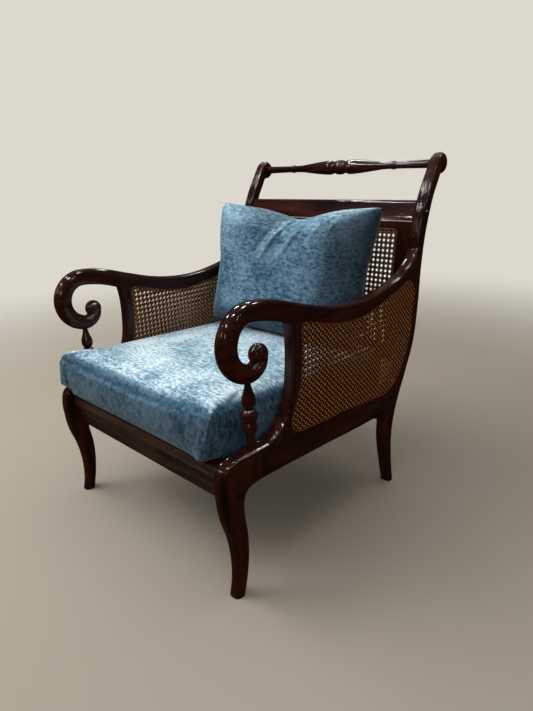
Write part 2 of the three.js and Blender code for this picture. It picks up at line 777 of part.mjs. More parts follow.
const rearRail = barAcross(barShape(rearRailDepth, rearRailHeight, edgeRound / 2), innerHalf);
rearRail.translate(0, rearRailFront, rearRailTop - rearRailHeight);
addPart(
  'rear_rail',
  geometryOf(solidOf(rearRail).subtract(screwBores(screwPlaces.rear))),
  mahogany,
);

// Seat frame and cushion lie in a group that slopes down to the back.
const seat = new THREE.Group();
seat.position.z = seatFrameLevel;
seat.rotation.x = -seatSlope;
chair.add(seat);

const seatHalf = innerHalf - jointGap;
const seatFront = -seatNose;
const seatBack = depthStops[2] + seatTail;
const seatMembers = [
  ['seat_frame_front', seatFront],
  ['seat_frame_rear', seatBack - seatMemberWidth],
];
for (const [name, fromY] of seatMembers) {
  const member = barAcross(barShape(seatMemberWidth, seatFrameThickness, edgeRound), seatHalf);
  member.translate(0, fromY, 0);
  addPart(name, member, mahogany, seat);
}
for (const [name, side] of [['seat_frame_left', 1], ['seat_frame_right', -1]]) {
  const length = seatBack - seatFront - 2 * (seatMemberWidth + jointGap);
  const member = new THREE.BoxGeometry(seatMemberWidth, length, seatFrameThickness);
  const middle = side * (seatHalf - seatMemberWidth / 2);
  member.translate(middle, (seatFront + seatBack) / 2, seatFrameThickness / 2);
  addPart(name, member, mahogany, seat);
}
const seatCane = new THREE.BoxGeometry(
  2 * (seatHalf - seatMemberWidth + seatCaneLap),
  seatBack - seatFront - 2 * (seatMemberWidth - seatCaneLap),
  caneThickness,
);
seatCane.translate(0, (seatFront + seatBack) / 2, seatFrameThickness + jointGap + caneThickness / 2);
addPart('seat_cane', seatCane, cane, seat);

// Back frame: flat, between the back posts, from just above the seat up to the crest board
const backFrameRise = backFrameHead.clone().sub(backFrameFoot);
const backFrameHeight = backFrameRise.length();
const backFrame = new THREE.Group();
backFrame.position.set(0, backFrameFoot.x, backFrameFoot.y);
backFrame.rotation.x = -Math.atan2(backFrameRise.x, backFrameRise.y);
chair.add(backFrame);

const backInner = innerHalf - stileWidth;
for (const [name, side] of [['back_stile_left', 1], ['back_stile_right', -1]]) {
  const stile = new THREE.BoxGeometry(stileWidth, backFrameDepth, backFrameHeight);
  stile.translate(side * (innerHalf - stileWidth / 2), backFrameDepth / 2, backFrameHeight / 2);
  addPart(name, stile, mahogany, backFrame);
}
const backRails = [
  ['back_top_rail', backFrameHeight - backTopRailHeight, backTopRailHeight],
  ['back_bottom_rail', 0, backBottomRailHeight],
];
for (const [name, fromZ, height] of backRails) {
  const rail = new THREE.BoxGeometry(2 * (backInner - jointGap), backFrameDepth, height);
  rail.translate(0, backFrameDepth / 2, fromZ + height / 2);
  addPart(name, rail, mahogany, backFrame);
}

// The back cane lies on the face of the back frame, with its cover band over the edge.
const backCaneHalf = backInner + caneLap;
const backCaneBottom = backBottomRailHeight - caneLap;
const backCaneTop = backFrameHeight - backTopRailHeight + caneLap;
const rectangle = (halfWidth, bottom, top) => [
  new THREE.Vector2(-halfWidth, bottom), new THREE.Vector2(halfWidth, bottom),
  new THREE.Vector2(halfWidth, top), new THREE.Vector2(-halfWidth, top),
];
const frontPlate = (shape, nearY, thickness) => {
  const geometry = new THREE.ExtrudeGeometry(shape, { depth: thickness, bevelEnabled: false });
  geometry.rotateX(Math.PI / 2);
  geometry.translate(0, nearY, 0);
  return geometry;
};
const backSheet = frontPlate(
  new THREE.Shape(rectangle(backCaneHalf, backCaneBottom, backCaneTop)), -jointGap, caneThickness,
);
const backOpenings = frontPlate(
  netOpenings(
    rectangle(backCaneHalf - caneMargin, backCaneBottom + caneMargin, backCaneTop - caneMargin),
    canePitch * backNetHoleCount,
  ),
  -jointGap + overrun,
  caneThickness + 2 * overrun,
);
addPart('back_cane', geometryOf(solidOf(backSheet).subtract(solidOf(backOpenings))), cane, backFrame);
const backBand = new THREE.Shape(rectangle(backCaneHalf, backCaneBottom, backCaneTop));
const backBandInner = rectangle(
  backCaneHalf - bandWidth, backCaneBottom + bandWidth, backCaneTop - bandWidth,
);
backBand.holes = [new THREE.Path(backBandInner.reverse())];
addPart(
  'back_cane_band',
  frontPlate(backBand, -2 * jointGap - caneThickness, bandThickness),
  cane,
  backFrame,
);

// Crest board: its section leans back with the posts and has a rounded upper edge.
const crest = new THREE.Group();
crest.position.set(0, crestFoot.x, crestFoot.y);
chair.add(crest);
const crestShape = (() => {
  const shape = new THREE.Shape();
  const round = crestDepth / 2;
  shape.moveTo(0, 0);
  shape.lineTo(crestDepth / Math.cos(crestLean), 0);
  shape.lineTo(...crestPlace(crestHeight - round, crestDepth));
  const centre = crestPlace(crestHeight - round, round);
  shape.absarc(centre[0], centre[1], round, -crestLean, Math.PI - crestLean, false);
  return shape;
})();
const crestBoard = barAcross(crestShape, innerHalf, crestCurveSegments);
const crestBores = screwBores({ depth: crestMiddle[0], level: crestMiddle[1] });
addPart('crest_board', geometryOf(solidOf(crestBoard).subtract(crestBores)), mahogany, crest);

// Turned top rail, the same from its middle to either end
const topRailShares = [
  ...topRailProfileShares.slice(1).reverse().map(([along, out]) => [-along, out]),
  ...topRailProfileShares,
];
const topRail = turned(topRailShares, topRailRadius, innerHalf, turnedSides);
topRail.applyMatrix4(alongX);
topRail.translate(0, rollCentre.x, rollCentre.y);
addPart('turned_top_rail', topRail, mahogany);

// A soft solid starts as a unit block of small faces, and each of its points is moved by a formula
// of its place in the block, where each of the three numbers runs from -1 to 1.
const softBlock = ([columnCount, rowCount, layerCount], move) => {
  const block = new THREE.BoxGeometry(1, 1, 1, columnCount, rowCount, layerCount);
  block.deleteAttribute('normal');
  block.deleteAttribute('uv');
  const { attributes, index } = mergeVertices(block);
  const points = [];
  for (let k = 0; k < attributes.position.count; k += 1) {
    const corner = new THREE.Vector3().fromBufferAttribute(attributes.position, k);
    points.push(move(2 * corner.x, 2 * corner.y, 2 * corner.z));
  }
  const faces = [];
  for (let k = 0; k < index.count; k += 3) {
    faces.push([index.getX(k), index.getX(k + 1), index.getX(k + 2)]);
  }
  return closedGeometry(points, faces);
};

// Box seat cushion: crowned top and bottom, sides drawn in between the corners, rounded edges
const seatCushionBottom = seatFrameThickness + jointGap + caneThickness + cushionRest;
const seatCushionWidth = 2 * innerHalf - seatCushionLeftGap - seatCushionRightGap;
const seatCushionLength = seatCushionOverhang + depthStops[2] + seatCushionTail;
const seatCushionCentre = seatCushionLength / 2 - seatCushionOverhang;
const crownAt = (a, b) => seatCushionCrown * (1 - a ** 4) * (1 - b ** 4);
const seatCushionCounts = [12, 12, 4];
const seatCushion = softBlock(seatCushionCounts, (a, b, c) => {
  const hollow = (share) => seatCushionDrawIn * (1 - share * share);
  const shrink = seatCushionEdge * Math.abs(c) ** 3;
  const x = a * (seatCushionWidth / 2 - hollow(b) - shrink - seatCushionCorner * b ** 8);
  const y = b * (seatCushionLength / 2 - hollow(a) - shrink - seatCushionCorner * a ** 8);
  const z = (c + 1) * seatCushionThickness / 2 + Math.max(c, 0) * crownAt(a, b);
  return new THREE.Vector3(x, y, z);
});
seatCushion.translate((seatCushionRightGap - seatCushionLeftGap) / 2, seatCushionCentre, seatCushionBottom);
addPart('seat_cushion', seatCushion, paleVelvet, seat);

// Back cushion: two swelling faces that meet in a seam, its edges drawn in between pinched corners
const backCushionWidth = 2 * (innerHalf - backCushionSideGap);
const backCushionSetback = depthStops[2] - backCushionLead;
const crownUnderBack = crownAt(0, (backCushionSetback - seatCushionCentre) * 2 / seatCushionLength);
const backCushionFoot = new THREE.Vector3(
  0,
  backCushionSetback,
  seatCushionBottom + seatCushionThickness + crownUnderBack + cushionRest,
);
const backCushionGroup = new THREE.Group();
backCushionGroup.position.copy(backCushionFoot);
seat.add(backCushionGroup);
backCushionGroup.rotation.x = seatSlope;
const backCushionLean = Math.asin(backCushionRun / backCushionHeight);

// The rear face swells until a gap is left to the face of the back frame, at half the cushion's height.
seat.updateMatrix();
const backCushionWaist = backCushionFoot.clone().applyMatrix4(seat.matrix).add(
  new THREE.Vector3(0, backCushionRun, backCushionHeight * Math.cos(backCushionLean)).divideScalar(2),
);
const backFrameSlope = backFrameRise.x / backFrameRise.y;
const backFaceDepth = backFrameFoot.x + (backCushionWaist.z - backFrameFoot.y) * backFrameSlope;
const backCushionRearSwell = (backFaceDepth - backCushionWaist.y - backCushionGap)
  / (Math.cos(backCushionLean) + backFrameSlope * Math.sin(backCushionLean) / 2);
const backCushionCounts = [14, 12, 2];
const backCushion = softBlock(backCushionCounts, (a, b, c) => {
  const hollow = (share) => backCushionDrawIn * (1 - share * share);
  const raised = (b + 1) / 2;
  const across = a * (backCushionWidth / 2 - hollow(b)) + backCushionShift - raised * backCushionSlant;
  const up = raised * (backCushionHeight - a * backCushionDip / 2) - Math.max(b, 0) * hollow(a);
  const swell = Math.sqrt((1 - a ** 4) * (1 - b ** 4));
  const faceSwell = c > 0 ? backCushionRearSwell : backCushionFrontSwell;
  const depth = c * (backCushionSeam / 2 + faceSwell * swell);
  const turn = a * raised * backCushionTwist / 2;
  const y = up * Math.sin(backCushionLean) + depth * Math.cos(backCushionLean) + turn;
  const z = up * Math.cos(backCushionLean) - raised * depth * Math.sin(backCushionLean);
  return new THREE.Vector3(across, y, z);
});
addPart('back_cushion', backCushion, blueVelvet, backCushionGroup);

// The origin is on the floor, in the middle of the chair's outline.
const outlineBox = new THREE.Box3().setFromObject(chair);
chair.position.y = -(outlineBox.min.y + outlineBox.max.y) / 2;

export default chair;
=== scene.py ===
"""Planters chair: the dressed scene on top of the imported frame.

All design sizes are millimetres in the side view of the chair: depth runs from the front of the
chair to its back, level is the height over the floor, and across is the distance from the chair's
middle plane towards the sitter's left. to_row() turns them into the frame's metres.
"""
import logging
import math
from dataclasses import dataclass, field
from enum import Enum
from typing import Callable

import bpy
import numpy as np
from mathutils import Matrix, Vector


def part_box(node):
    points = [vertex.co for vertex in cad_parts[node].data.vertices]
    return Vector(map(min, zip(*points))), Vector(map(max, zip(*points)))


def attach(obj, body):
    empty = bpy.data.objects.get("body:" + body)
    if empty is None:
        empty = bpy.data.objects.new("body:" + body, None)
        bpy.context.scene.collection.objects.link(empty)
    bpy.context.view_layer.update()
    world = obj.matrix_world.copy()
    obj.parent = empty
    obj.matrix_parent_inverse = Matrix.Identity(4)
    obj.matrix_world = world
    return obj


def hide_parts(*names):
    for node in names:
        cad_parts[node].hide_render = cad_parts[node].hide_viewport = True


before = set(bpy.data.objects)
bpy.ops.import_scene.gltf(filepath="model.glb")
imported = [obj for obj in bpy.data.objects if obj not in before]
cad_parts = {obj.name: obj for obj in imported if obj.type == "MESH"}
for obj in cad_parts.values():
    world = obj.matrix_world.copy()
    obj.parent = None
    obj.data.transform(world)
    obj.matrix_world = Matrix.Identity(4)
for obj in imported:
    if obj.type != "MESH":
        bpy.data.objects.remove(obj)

LOG = logging.getLogger("planters_chair")

MM = 0.001
CENTRE_SHIFT = -385.9
HALF_SPACING = 310.0
HALF_THICK = 15.0

Keys = tuple[tuple[float, float], ...]
Rows = tuple[tuple[float, float, float, float], ...]
Rgb = tuple[float, float, float, float]
Place = Callable[[np.ndarray, np.ndarray, np.ndarray], np.ndarray]


class Side(Enum):
    """The two side frames, by the sign of their distance from the middle plane."""

    LEFT = 1
    RIGHT = -1


class Grain(Enum):
    """The axis that the grain of a wooden piece runs along."""

    ACROSS = 0
    DEPTH = 1
    LEVEL = 2


# Small helpers for numbers, meshes and shader nodes


def linear(code: str) -> Rgb:
    """Turns an sRGB hex colour into the linear colour that a shader socket takes.

    Args:
        code: Six hex digits, with or without a leading hash.

    Returns:
        Linear red, green, blue and an alpha of 1.
    """
    digits = code.lstrip("#")
    srgb = [int(digits[i:i + 2], 16) / 255 for i in (0, 2, 4)]
    lin = [c / 12.92 if c <= 0.04045 else ((c + 0.055) / 1.055) ** 2.4 for c in srgb]
    return (lin[0], lin[1], lin[2], 1.0)


def to_row(points: np.ndarray) -> np.ndarray:
    """Design millimetres (across, depth, level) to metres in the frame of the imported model."""
    return (points + np.array([0.0, CENTRE_SHIFT, 0.0])) * MM


def keyed(keys: Keys, share: np.ndarray) -> np.ndarray:
    """Straight interpolation of (share, value) keys at the given shares."""
    at, value = np.array(keys, float).T
    return np.interp(share, at, value)


def spline(points: np.ndarray, count: int) -> np.ndarray:
    """A centripetal Catmull-Rom curve through the points.

    Each stretch between two points is a cubic whose end slopes come from the square roots of the
    distances to the neighbours, so that the curve has no loops at short stretches.

    Args:
        points: The points that the curve passes, one row each.
        count: How many points to return, evenly spread over the stretches.

    Returns:
        The points on the curve, one row each.
    """
    padded = np.vstack([2 * points[0] - points[1], points, 2 * points[-1] - points[-2]])
    at = np.linspace(0, len(points) - 1, count)
    k = np.minimum(at.astype(int), len(points) - 2)
    f = (at - k)[:, None]
    p0, p1, p2, p3 = (padded[k + i] for i in range(4))
    d0, d1, d2 = (np.sqrt(np.linalg.norm(b - a, axis=1))[:, None] + 1e-9
                  for a, b in ((p0, p1), (p1, p2), (p2, p3)))
    m1 = ((p1 - p0) / d0 - (p2 - p0) / (d0 + d1) + (p2 - p1) / d1) * d1
    m2 = ((p2 - p1) / d1 - (p3 - p1) / (d1 + d2) + (p3 - p2) / d2) * d1
    return ((2 * f**3 - 3 * f**2 + 1) * p1 + (f**3 - 2 * f**2 + f) * m1
            + (3 * f**2 - 2 * f**3) * p2 + (f**3 - f**2) * m2)


def add_mesh(name: str, points: np.ndarray, quads: np.ndarray, tris: np.ndarray | None = None,
             crease: float = 38.0, lift: np.ndarray | None = None) -> bpy.types.Object:
    """Puts computed points and faces into a new object at the origin, with the faces outwards.

    Args:
        name: The piece's name.
        points: Design millimetres, one row per point.
        quads: Indices of the four-sided faces.
        tris: Indices of the three-sided faces.
        crease: Edges that turn by more degrees than this stay sharp.
        lift: A number for each point, kept as the attribute "lift" for the finish to read.

    Returns:
        The new object, in the scene.
    """
    tris = np.zeros((0, 3), int) if tris is None else tris
    flat = np.vstack([quads[:, [0, 1, 2]], quads[:, [0, 2, 3]], tris])
    a, b, c = (points[flat[:, i]] - points.mean(axis=0) for i in range(3))
    if np.einsum("ij,ij->i", a, np.cross(b, c)).sum() < 0:
        quads, tris = quads[:, ::-1], tris[:, ::-1]
    mesh = bpy.data.meshes.new(name)
    mesh.from_pydata(to_row(points).tolist(), [], quads.tolist() + tris.tolist())
    mesh.polygons.foreach_set("use_smooth", np.ones(len(mesh.polygons), bool))
    mesh.set_sharp_from_angle(angle=math.radians(crease))
    mesh.update()
    if lift is not None:
        mesh.attributes.new("lift", "FLOAT", "POINT").data.foreach_set("value", lift)
    piece = bpy.data.objects.new(name, mesh)
    bpy.context.scene.collection.objects.link(piece)
    return piece


def loft(rings: np.ndarray) -> tuple[np.ndarray, np.ndarray, np.ndarray]:
    """Joins a row of closed rings into one closed skin.

    Ring i's point j is joined to ring i+1's point j, and each end ring to its own middle.

    Args:
        rings: Array of rings x points x 3.

    Returns:
        Points, four-sided faces and three-sided end faces.
    """
    count, around = rings.shape[:2]
    row = np.arange(count - 1)[:, None] * around
    col = np.arange(around)[None, :]
    nxt = (col + 1) % around
    quads = np.stack([row + col, row + nxt, row + nxt + around, row + col + around], -1)
    points = np.vstack([rings.reshape(-1, 3), rings[0].mean(axis=0), rings[-1].mean(axis=0)])
    j, k = np.arange(around), (np.arange(around) + 1) % around
    last = (count - 1) * around
    start = np.stack([k, j, np.full(around, count * around)], -1)
    end = np.stack([last + j, last + k, np.full(around, count * around + 1)], -1)
    return points, quads.reshape(-1, 4), np.vstack([start, end])


def merge(parts: list[tuple[np.ndarray, np.ndarray, np.ndarray]]) -> tuple[np.ndarray, ...]:
    """Puts several closed skins (points, quads, tris) together as one set of arrays."""
    starts = np.cumsum([0] + [len(p[0]) for p in parts[:-1]])
    return (np.vstack([p[0] for p in parts]),
            np.vstack([p[1] + s for p, s in zip(parts, starts)]),
            np.vstack([p[2] + s for p, s in zip(parts, starts)]))


def add_node(tree: bpy.types.NodeTree, kind: str, settings: dict | None = None,
             inputs: dict | None = None) -> bpy.types.Node:
    """Adds a shader node with its settings, socket values and incoming links.

    Args:
        tree: The node tree that gets the node.
        kind: The node's type name without the ShaderNode prefix.
        settings: Properties of the node, by name.
        inputs: Values or output sockets, by input name or index.

    Returns:
        The new node.
    """
    node = tree.nodes.new("ShaderNode" + kind)
    for key, value in (settings or {}).items():
        setattr(node, key, value)
    for key, value in (inputs or {}).items():
        if isinstance(value, bpy.types.NodeSocket):
            tree.links.new(value, node.inputs[key])
        else:
            node.inputs[key].default_value = value
    return node


def ramp(tree: bpy.types.NodeTree, fac: bpy.types.NodeSocket,
         stops: list[tuple[float, Rgb]]) -> bpy.types.NodeSocket:
    """Adds a colour ramp with the given stops and returns its colour output."""
    node = add_node(tree, "ValToRGB", inputs={"Fac": fac})
    elements = node.color_ramp.elements
    while len(elements) < len(stops):
        elements.new(0.5)
    for element, (at, colour) in zip(elements, stops):
        element.position, element.color = at, colour
    return node.outputs["Color"]


def new_material(name: str) -> tuple[bpy.types.Material, bpy.types.NodeTree, bpy.types.Node]:
    """An empty node material with its Principled shader joined to the output."""
    material = bpy.data.materials.new(name)
    material.use_nodes = True
    tree = material.node_tree
    tree.nodes.clear()
    shader = add_node(tree, "BsdfPrincipled")
    add_node(tree, "OutputMaterial", inputs={"Surface": shader.outputs["BSDF"]})
    return material, tree, shader


def object_coordinates(tree: bpy.types.NodeTree, scale: tuple[float, float, float],
                       location: tuple[float, float, float] = (0, 0, 0)) -> bpy.types.NodeSocket:
    """Object coordinates, stretched by scale, as a vector output."""
    coords = add_node(tree, "TexCoord")
    return add_node(tree, "Mapping", inputs={"Vector": coords.outputs["Object"], "Scale": scale,
                                             "Location": location}).outputs["Vector"]


# Finishes


@dataclass(frozen=True)
class PolishedMahogany:
    """Mahogany, stained near black and French polished to a high gloss.

    To the eye it is a dark red-brown glow deep under a clear coat, with long pores along the grain
    and a faintly wavy coat that breaks every highlight into short dashes.
    """

    name: str = "polished_mahogany"
    dark: str = "#0e0503"
    glow: str = "#42190b"
    pore_mm: float = 1.6
    figure_mm: float = 26.0
    ripple_mm: float = 6.5
    roughness: float = 0.5
    coat: float = 0.42
    coat_roughness: float = 0.03

    def material(self, grain: Grain) -> bpy.types.Material:
        """Builds the finish with its grain along one axis."""
        name = f"{self.name}_{grain.name.lower()}"
        if name in bpy.data.materials:
            return bpy.data.materials[name]
        material, tree, shader = new_material(name)
        stretch = [1 / (self.figure_mm * MM)] * 3
        stretch[grain.value] /= 9
        figure = add_node(tree, "TexNoise", inputs={
            "Vector": object_coordinates(tree, tuple(stretch)), "Scale": 1.0, "Detail": 5.0,
            "Roughness": 0.6, "Distortion": 0.8})
        stretch = [1 / (self.pore_mm * MM)] * 3
        stretch[grain.value] /= 22
        pores = add_node(tree, "TexNoise", inputs={
            "Vector": object_coordinates(tree, tuple(stretch)), "Scale": 1.0, "Detail": 2.0})
        mixed = add_node(tree, "Math", {"operation": "MULTIPLY_ADD"}, {
            0: pores.outputs["Fac"], 1: 0.35, 2: figure.outputs["Fac"]})
        colour = ramp(tree, mixed.outputs[0], [(0.5, linear(self.dark)), (0.95, linear(self.glow))])
        ripple = add_node(tree, "TexNoise", inputs={
            "Vector": object_coordinates(tree, (1 / (self.ripple_mm * MM),) * 3), "Scale": 1.0,
            "Detail": 2.5, "Roughness": 0.6})
        bump = add_node(tree, "Bump", inputs={"Height": ripple.outputs["Fac"], "Strength": 0.4,
                                              "Distance": 0.0009})
        tree.links.new(colour, shader.inputs["Base Color"])
        tree.links.new(bump.outputs["Normal"], shader.inputs["Normal"])
        tree.links.new(bump.outputs["Normal"], shader.inputs["Coat Normal"])
        shader.inputs["Roughness"].default_value = self.roughness
        shader.inputs["Coat Weight"].default_value = self.coat
        shader.inputs["Coat Roughness"].default_value = self.coat_roughness
        shader.inputs["Specular IOR Level"].default_value = 0.02
        shader.inputs["IOR"].default_value = 1.5
        return material


@dataclass(frozen=True)
class SplitCane:
    """Rattan peel: narrow glossy golden strands, stained in patches, painted shade where they
    cross.

    A woven sheet carries the height of every point over its middle plane as the attribute "lift".
    Where a strand dips under another, its colour turns dark brown as painted shade.
    """

    name: str
    pale: str = "#b0733a"
    stained: str = "#6e3f1b"
    sunk: str = "#0e0603"
    sunk_from: float = 0.42
    sunk_to: float = 1.0
    patch_mm: float = 9.0
    roughness: float = 0.34

    def material(self) -> bpy.types.Material:
        """Builds the finish, or finds it if it is there."""
        if self.name in bpy.data.materials:
            return bpy.data.materials[self.name]
        material, tree, shader = new_material(self.name)
        patches = add_node(tree, "TexNoise", inputs={
            "Vector": object_coordinates(tree, (1 / (self.patch_mm * MM),) * 3), "Scale": 1.0,
            "Detail": 4.0, "Roughness": 0.6})
        face = ramp(tree, patches.outputs["Fac"], [
            (0.32, linear(self.stained)), (0.62, linear(self.pale))])
        # Painted shade: the lower a point lies in the weave, the nearer its colour comes to sunk.
        lift = add_node(tree, "Attribute", {"attribute_name": "lift"})
        raised = add_node(tree, "MapRange", {"interpolation_type": "SMOOTHSTEP"}, {
            "Value": lift.outputs["Fac"], "From Min": self.sunk_from, "From Max": self.sunk_to})
        colour = add_node(tree, "Mix", {"data_type": "RGBA"}, {
            0: raised.outputs["Result"], 6: linear(self.sunk), 7: face})
        tree.links.new(colour.outputs[2], shader.inputs["Base Color"])
        shader.inputs["Roughness"].default_value = self.roughness
        shader.inputs["Coat Weight"].default_value = 0.12
        shader.inputs["Coat Roughness"].default_value = 0.2
        shader.inputs["Specular IOR Level"].default_value = 0.15
        return material


@dataclass(frozen=True)
class CrushedVelvet:
    """Crushed cotton velvet: patches of pile that lean different ways, so they shine unevenly.

    Faces that look up are pale, edges that curve over a deeper blue, and upright faces dark: partly
    the pile, and partly painted light, lighter on top and darker on the sides. On faces towards the
    sitter's left and on faces that look down the colour is darker by a set factor: painted shade.
    The steps from one to the next were matched to the photo.
    """

    name: str
    pale: str
    middle: str
    deep: str
    edge_pale: str
    edge_deep: str
    upright_pale: str
    upright_deep: str
    patch_mm: tuple[float, float, float] = (11.0, 5.0, 9.0)
    sheen: float = 0.3
    shade_factor: float = 1.0

    def material(self) -> bpy.types.Material:
        """Builds the finish, or finds it if it is there."""
        if self.name in bpy.data.materials:
            return bpy.data.materials[self.name]
        material, tree, shader = new_material(self.name)
        scale = tuple(1 / (size * MM) for size in self.patch_mm)
        nap = add_node(tree, "TexNoise", inputs={
            "Vector": object_coordinates(tree, scale), "Scale": 1.0, "Detail": 6.0,
            "Roughness": 0.68, "Distortion": 0.5})
        broad = add_node(tree, "TexNoise", inputs={
            "Vector": object_coordinates(tree, (9.0, 9.0, 9.0)), "Scale": 1.0, "Detail": 2.0})
        lay = add_node(tree, "Math", {"operation": "MULTIPLY_ADD"}, {
            0: broad.outputs["Fac"], 1: 0.45, 2: nap.outputs["Fac"]})
        level = add_node(tree, "MapRange", inputs={
            "Value": lay.outputs[0], "From Min": 0.45, "From Max": 1.0})
        flat = ramp(tree, level.outputs["Result"], [
            (0.22, linear(self.deep)), (0.48, linear(self.middle)), (0.72, linear(self.pale))])
        edge = ramp(tree, level.outputs["Result"], [
            (0.25, linear(self.edge_deep)), (0.72, linear(self.edge_pale))])
        upright = ramp(tree, level.outputs["Result"], [
            (0.25, linear(self.upright_deep)), (0.72, linear(self.upright_pale))])
        normal = add_node(tree, "NewGeometry")
        split = add_node(tree, "SeparateXYZ", inputs={0: normal.outputs["Normal"]})
        # Paler on top and darker on upright faces: partly the pile's sheen and partly painted
        # light.
        curved = add_node(tree, "MapRange", {"interpolation_type": "SMOOTHSTEP"}, {
            "Value": split.outputs["Z"], "From Min": 0.46, "From Max": 0.72})
        facing = add_node(tree, "MapRange", {"interpolation_type": "SMOOTHSTEP"}, {
            "Value": split.outputs["Z"], "From Min": 0.72, "From Max": 0.95})
        side = add_node(tree, "Mix", {"data_type": "RGBA"}, {
            0: curved.outputs["Result"], 6: upright, 7: edge})
        colour = add_node(tree, "Mix", {"data_type": "RGBA"}, {
            0: facing.outputs["Result"], 6: side.outputs[2], 7: flat})
        # Painted shade: darker on faces towards the sitter's left and on faces that look down.
        away = add_node(tree, "MapRange", {"interpolation_type": "SMOOTHSTEP"}, {
            "Value": split.outputs["X"], "From Min": -0.1, "From Max": 0.5, "To Min": 1.0,
            "To Max": self.shade_factor})
        under = add_node(tree, "MapRange", {"interpolation_type": "SMOOTHSTEP"}, {
            "Value": split.outputs["Z"], "From Min": -0.35, "From Max": 0.12, "To Min": self.shade_factor,
            "To Max": 1.0})
        shade = add_node(tree, "Math", {"operation": "MULTIPLY"}, {
            0: away.outputs["Result"], 1: under.outputs["Result"]})
        leaning = add_node(tree, "VectorMath", {"operation": "SCALE"}, {
            0: colour.outputs[2], "Scale": shade.outputs[0]})
        bump = add_node(tree, "Bump", inputs={"Height": nap.outputs["Fac"], "Strength": 0.6,
                                              "Distance": 0.0016})
        tree.links.new(leaning.outputs["Vector"], shader.inputs["Base Color"])
        tree.links.new(bump.outputs["Normal"], shader.inputs["Normal"])
        shader.inputs["Roughness"].default_value = 0.78
        shader.inputs["Sheen Weight"].default_value = self.sheen
        shader.inputs["Sheen Roughness"].default_value = 0.38
        shader.inputs["Sheen Tint"].default_value = linear("#dcecf4")
        shader.inputs["Specular IOR Level"].default_value = 0.03
        return material


@dataclass(frozen=True)
class DarkPlug:
    """End-grain plug under polish: near black with a green cast and fine speckle."""

    colour: str = "#060807"
    speckle: str = "#0f1311"

    def material(self) -> bpy.types.Material:
        """Builds the finish, or finds it if it is there."""
        name = "polished_dark_plug"
        if name in bpy.data.materials:
            return bpy.data.materials[name]
        material, tree, shader = new_material(name)
        speckle = add_node(tree, "TexNoise", inputs={
            "Vector": object_coordinates(tree, (900.0, 900.0, 900.0)), "Scale": 1.0})
        colour = ramp(tree, speckle.outputs["Fac"], [
            (0.4, linear(self.colour)), (0.7, linear(self.speckle))])
        tree.links.new(colour, shader.inputs["Base Color"])
        shader.inputs["Roughness"].default_value = 0.3
        shader.inputs["Coat Weight"].default_value = 0.2
        shader.inputs["Specular IOR Level"].default_value = 0.1
        return material


@dataclass(frozen=True)
class ZincPlatedSteel:
    """Zinc-plated screw steel: a dull grey metal with fine lathe marks."""

    colour: str = "#9c9c98"

    def material(self) -> bpy.types.Material:
        """Builds the finish, or finds it if it is there."""
        name = "zinc_plated_steel"
        if name in bpy.data.materials:
            return bpy.data.materials[name]
        material, tree, shader = new_material(name)
        marks = add_node(tree, "TexNoise", inputs={
            "Vector": object_coordinates(tree, (2500.0, 200.0, 200.0)), "Scale": 1.0})
        rough = add_node(tree, "MapRange", inputs={
            "Value": marks.outputs["Fac"], "To Min": 0.3, "To Max": 0.5})
        shader.inputs["Base Color"].default_value = linear(self.colour)
        shader.inputs["Metallic"].default_value = 1.0
        tree.links.new(rough.outputs["Result"], shader.inputs["Roughness"])
        return material


# The duller mahogany, the binder, the shaded cane and the back cane were matched to the photo by
# colour. The three cane finishes are lit and shaded copies of one cane: the side cane is painted
# lighter to make up for the shade on the chair's sides, the seat cane is painted shade under the
# cushion, and the back cane is painted darker, with a lighter dark colour in fewer dips. The duller
# mahogany is greyer and less glossy than the polish, and the binder is darker than the cane.
MAHOGANY = PolishedMahogany()
FRONT_RAIL_MAHOGANY = PolishedMahogany(
    name="duller_mahogany", dark="#261a14", glow="#48382f", roughness=0.42, coat=0.12,
    coat_roughness=0.2)
BRIGHTENED_CANE = SplitCane("lacquered_split_cane", pale="#f09a44", stained="#b4692a")
CANE_BINDER = SplitCane("lacquered_cane_binder", pale="#6a3f1c", stained="#3c200e")
SHADED_CANE = SplitCane("lacquered_split_cane_shaded", pale="#3a2412", stained="#20140a")
SHADED_BACK_CANE = SplitCane("lacquered_split_cane_back", pale="#5e3d22", stained="#38230f",
                      sunk="#20130a", sunk_from=-0.5, sunk_to=0.2)
# Both velvets are paler on top and darker on upright faces, partly painted light; the back velvet
# is also painted darker on faces towards the sitter's left and on faces that look down.
SEAT_VELVET = CrushedVelvet(
    "ice_blue_crushed_velvet", pale="#e6f4fa", middle="#9fc1d1", deep="#54788e",
    edge_pale="#587e98", edge_deep="#2c4c64", upright_pale="#4b6679", upright_deep="#192f42",
    patch_mm=(12.0, 6.0, 15.0))
BACK_VELVET = CrushedVelvet(
    "denim_blue_crushed_velvet", pale="#b2cedd", middle="#6890a7", deep="#3c6179",
    edge_pale="#93b6c9", edge_deep="#416780", upright_pale="#7698ae", upright_deep="#2a4c66",
    patch_mm=(13.0, 9.0, 7.0), shade_factor=0.34)
PLUG = DarkPlug()
STEEL = ZincPlatedSteel()


def dress(piece: bpy.types.Object, material: bpy.types.Material,
          nodes: tuple[str, ...] = (), body: str = "root") -> bpy.types.Object:
    """Gives a new piece its finish and its body, and hides the CAD nodes that it stands for.

    Args:
        piece: The new piece.
        material: Its finish.
        nodes: The CAD nodes that it stands for.
        body: The body that carries it.

    Returns:
        The piece.
    """
    piece.data.materials.clear()
    piece.data.materials.append(material)
    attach(piece, body)
    if nodes:
        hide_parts(*nodes)
    LOG.info("%s: %d faces", piece.name, len(piece.data.polygons))
    return piece


# Sawn members of the side frames


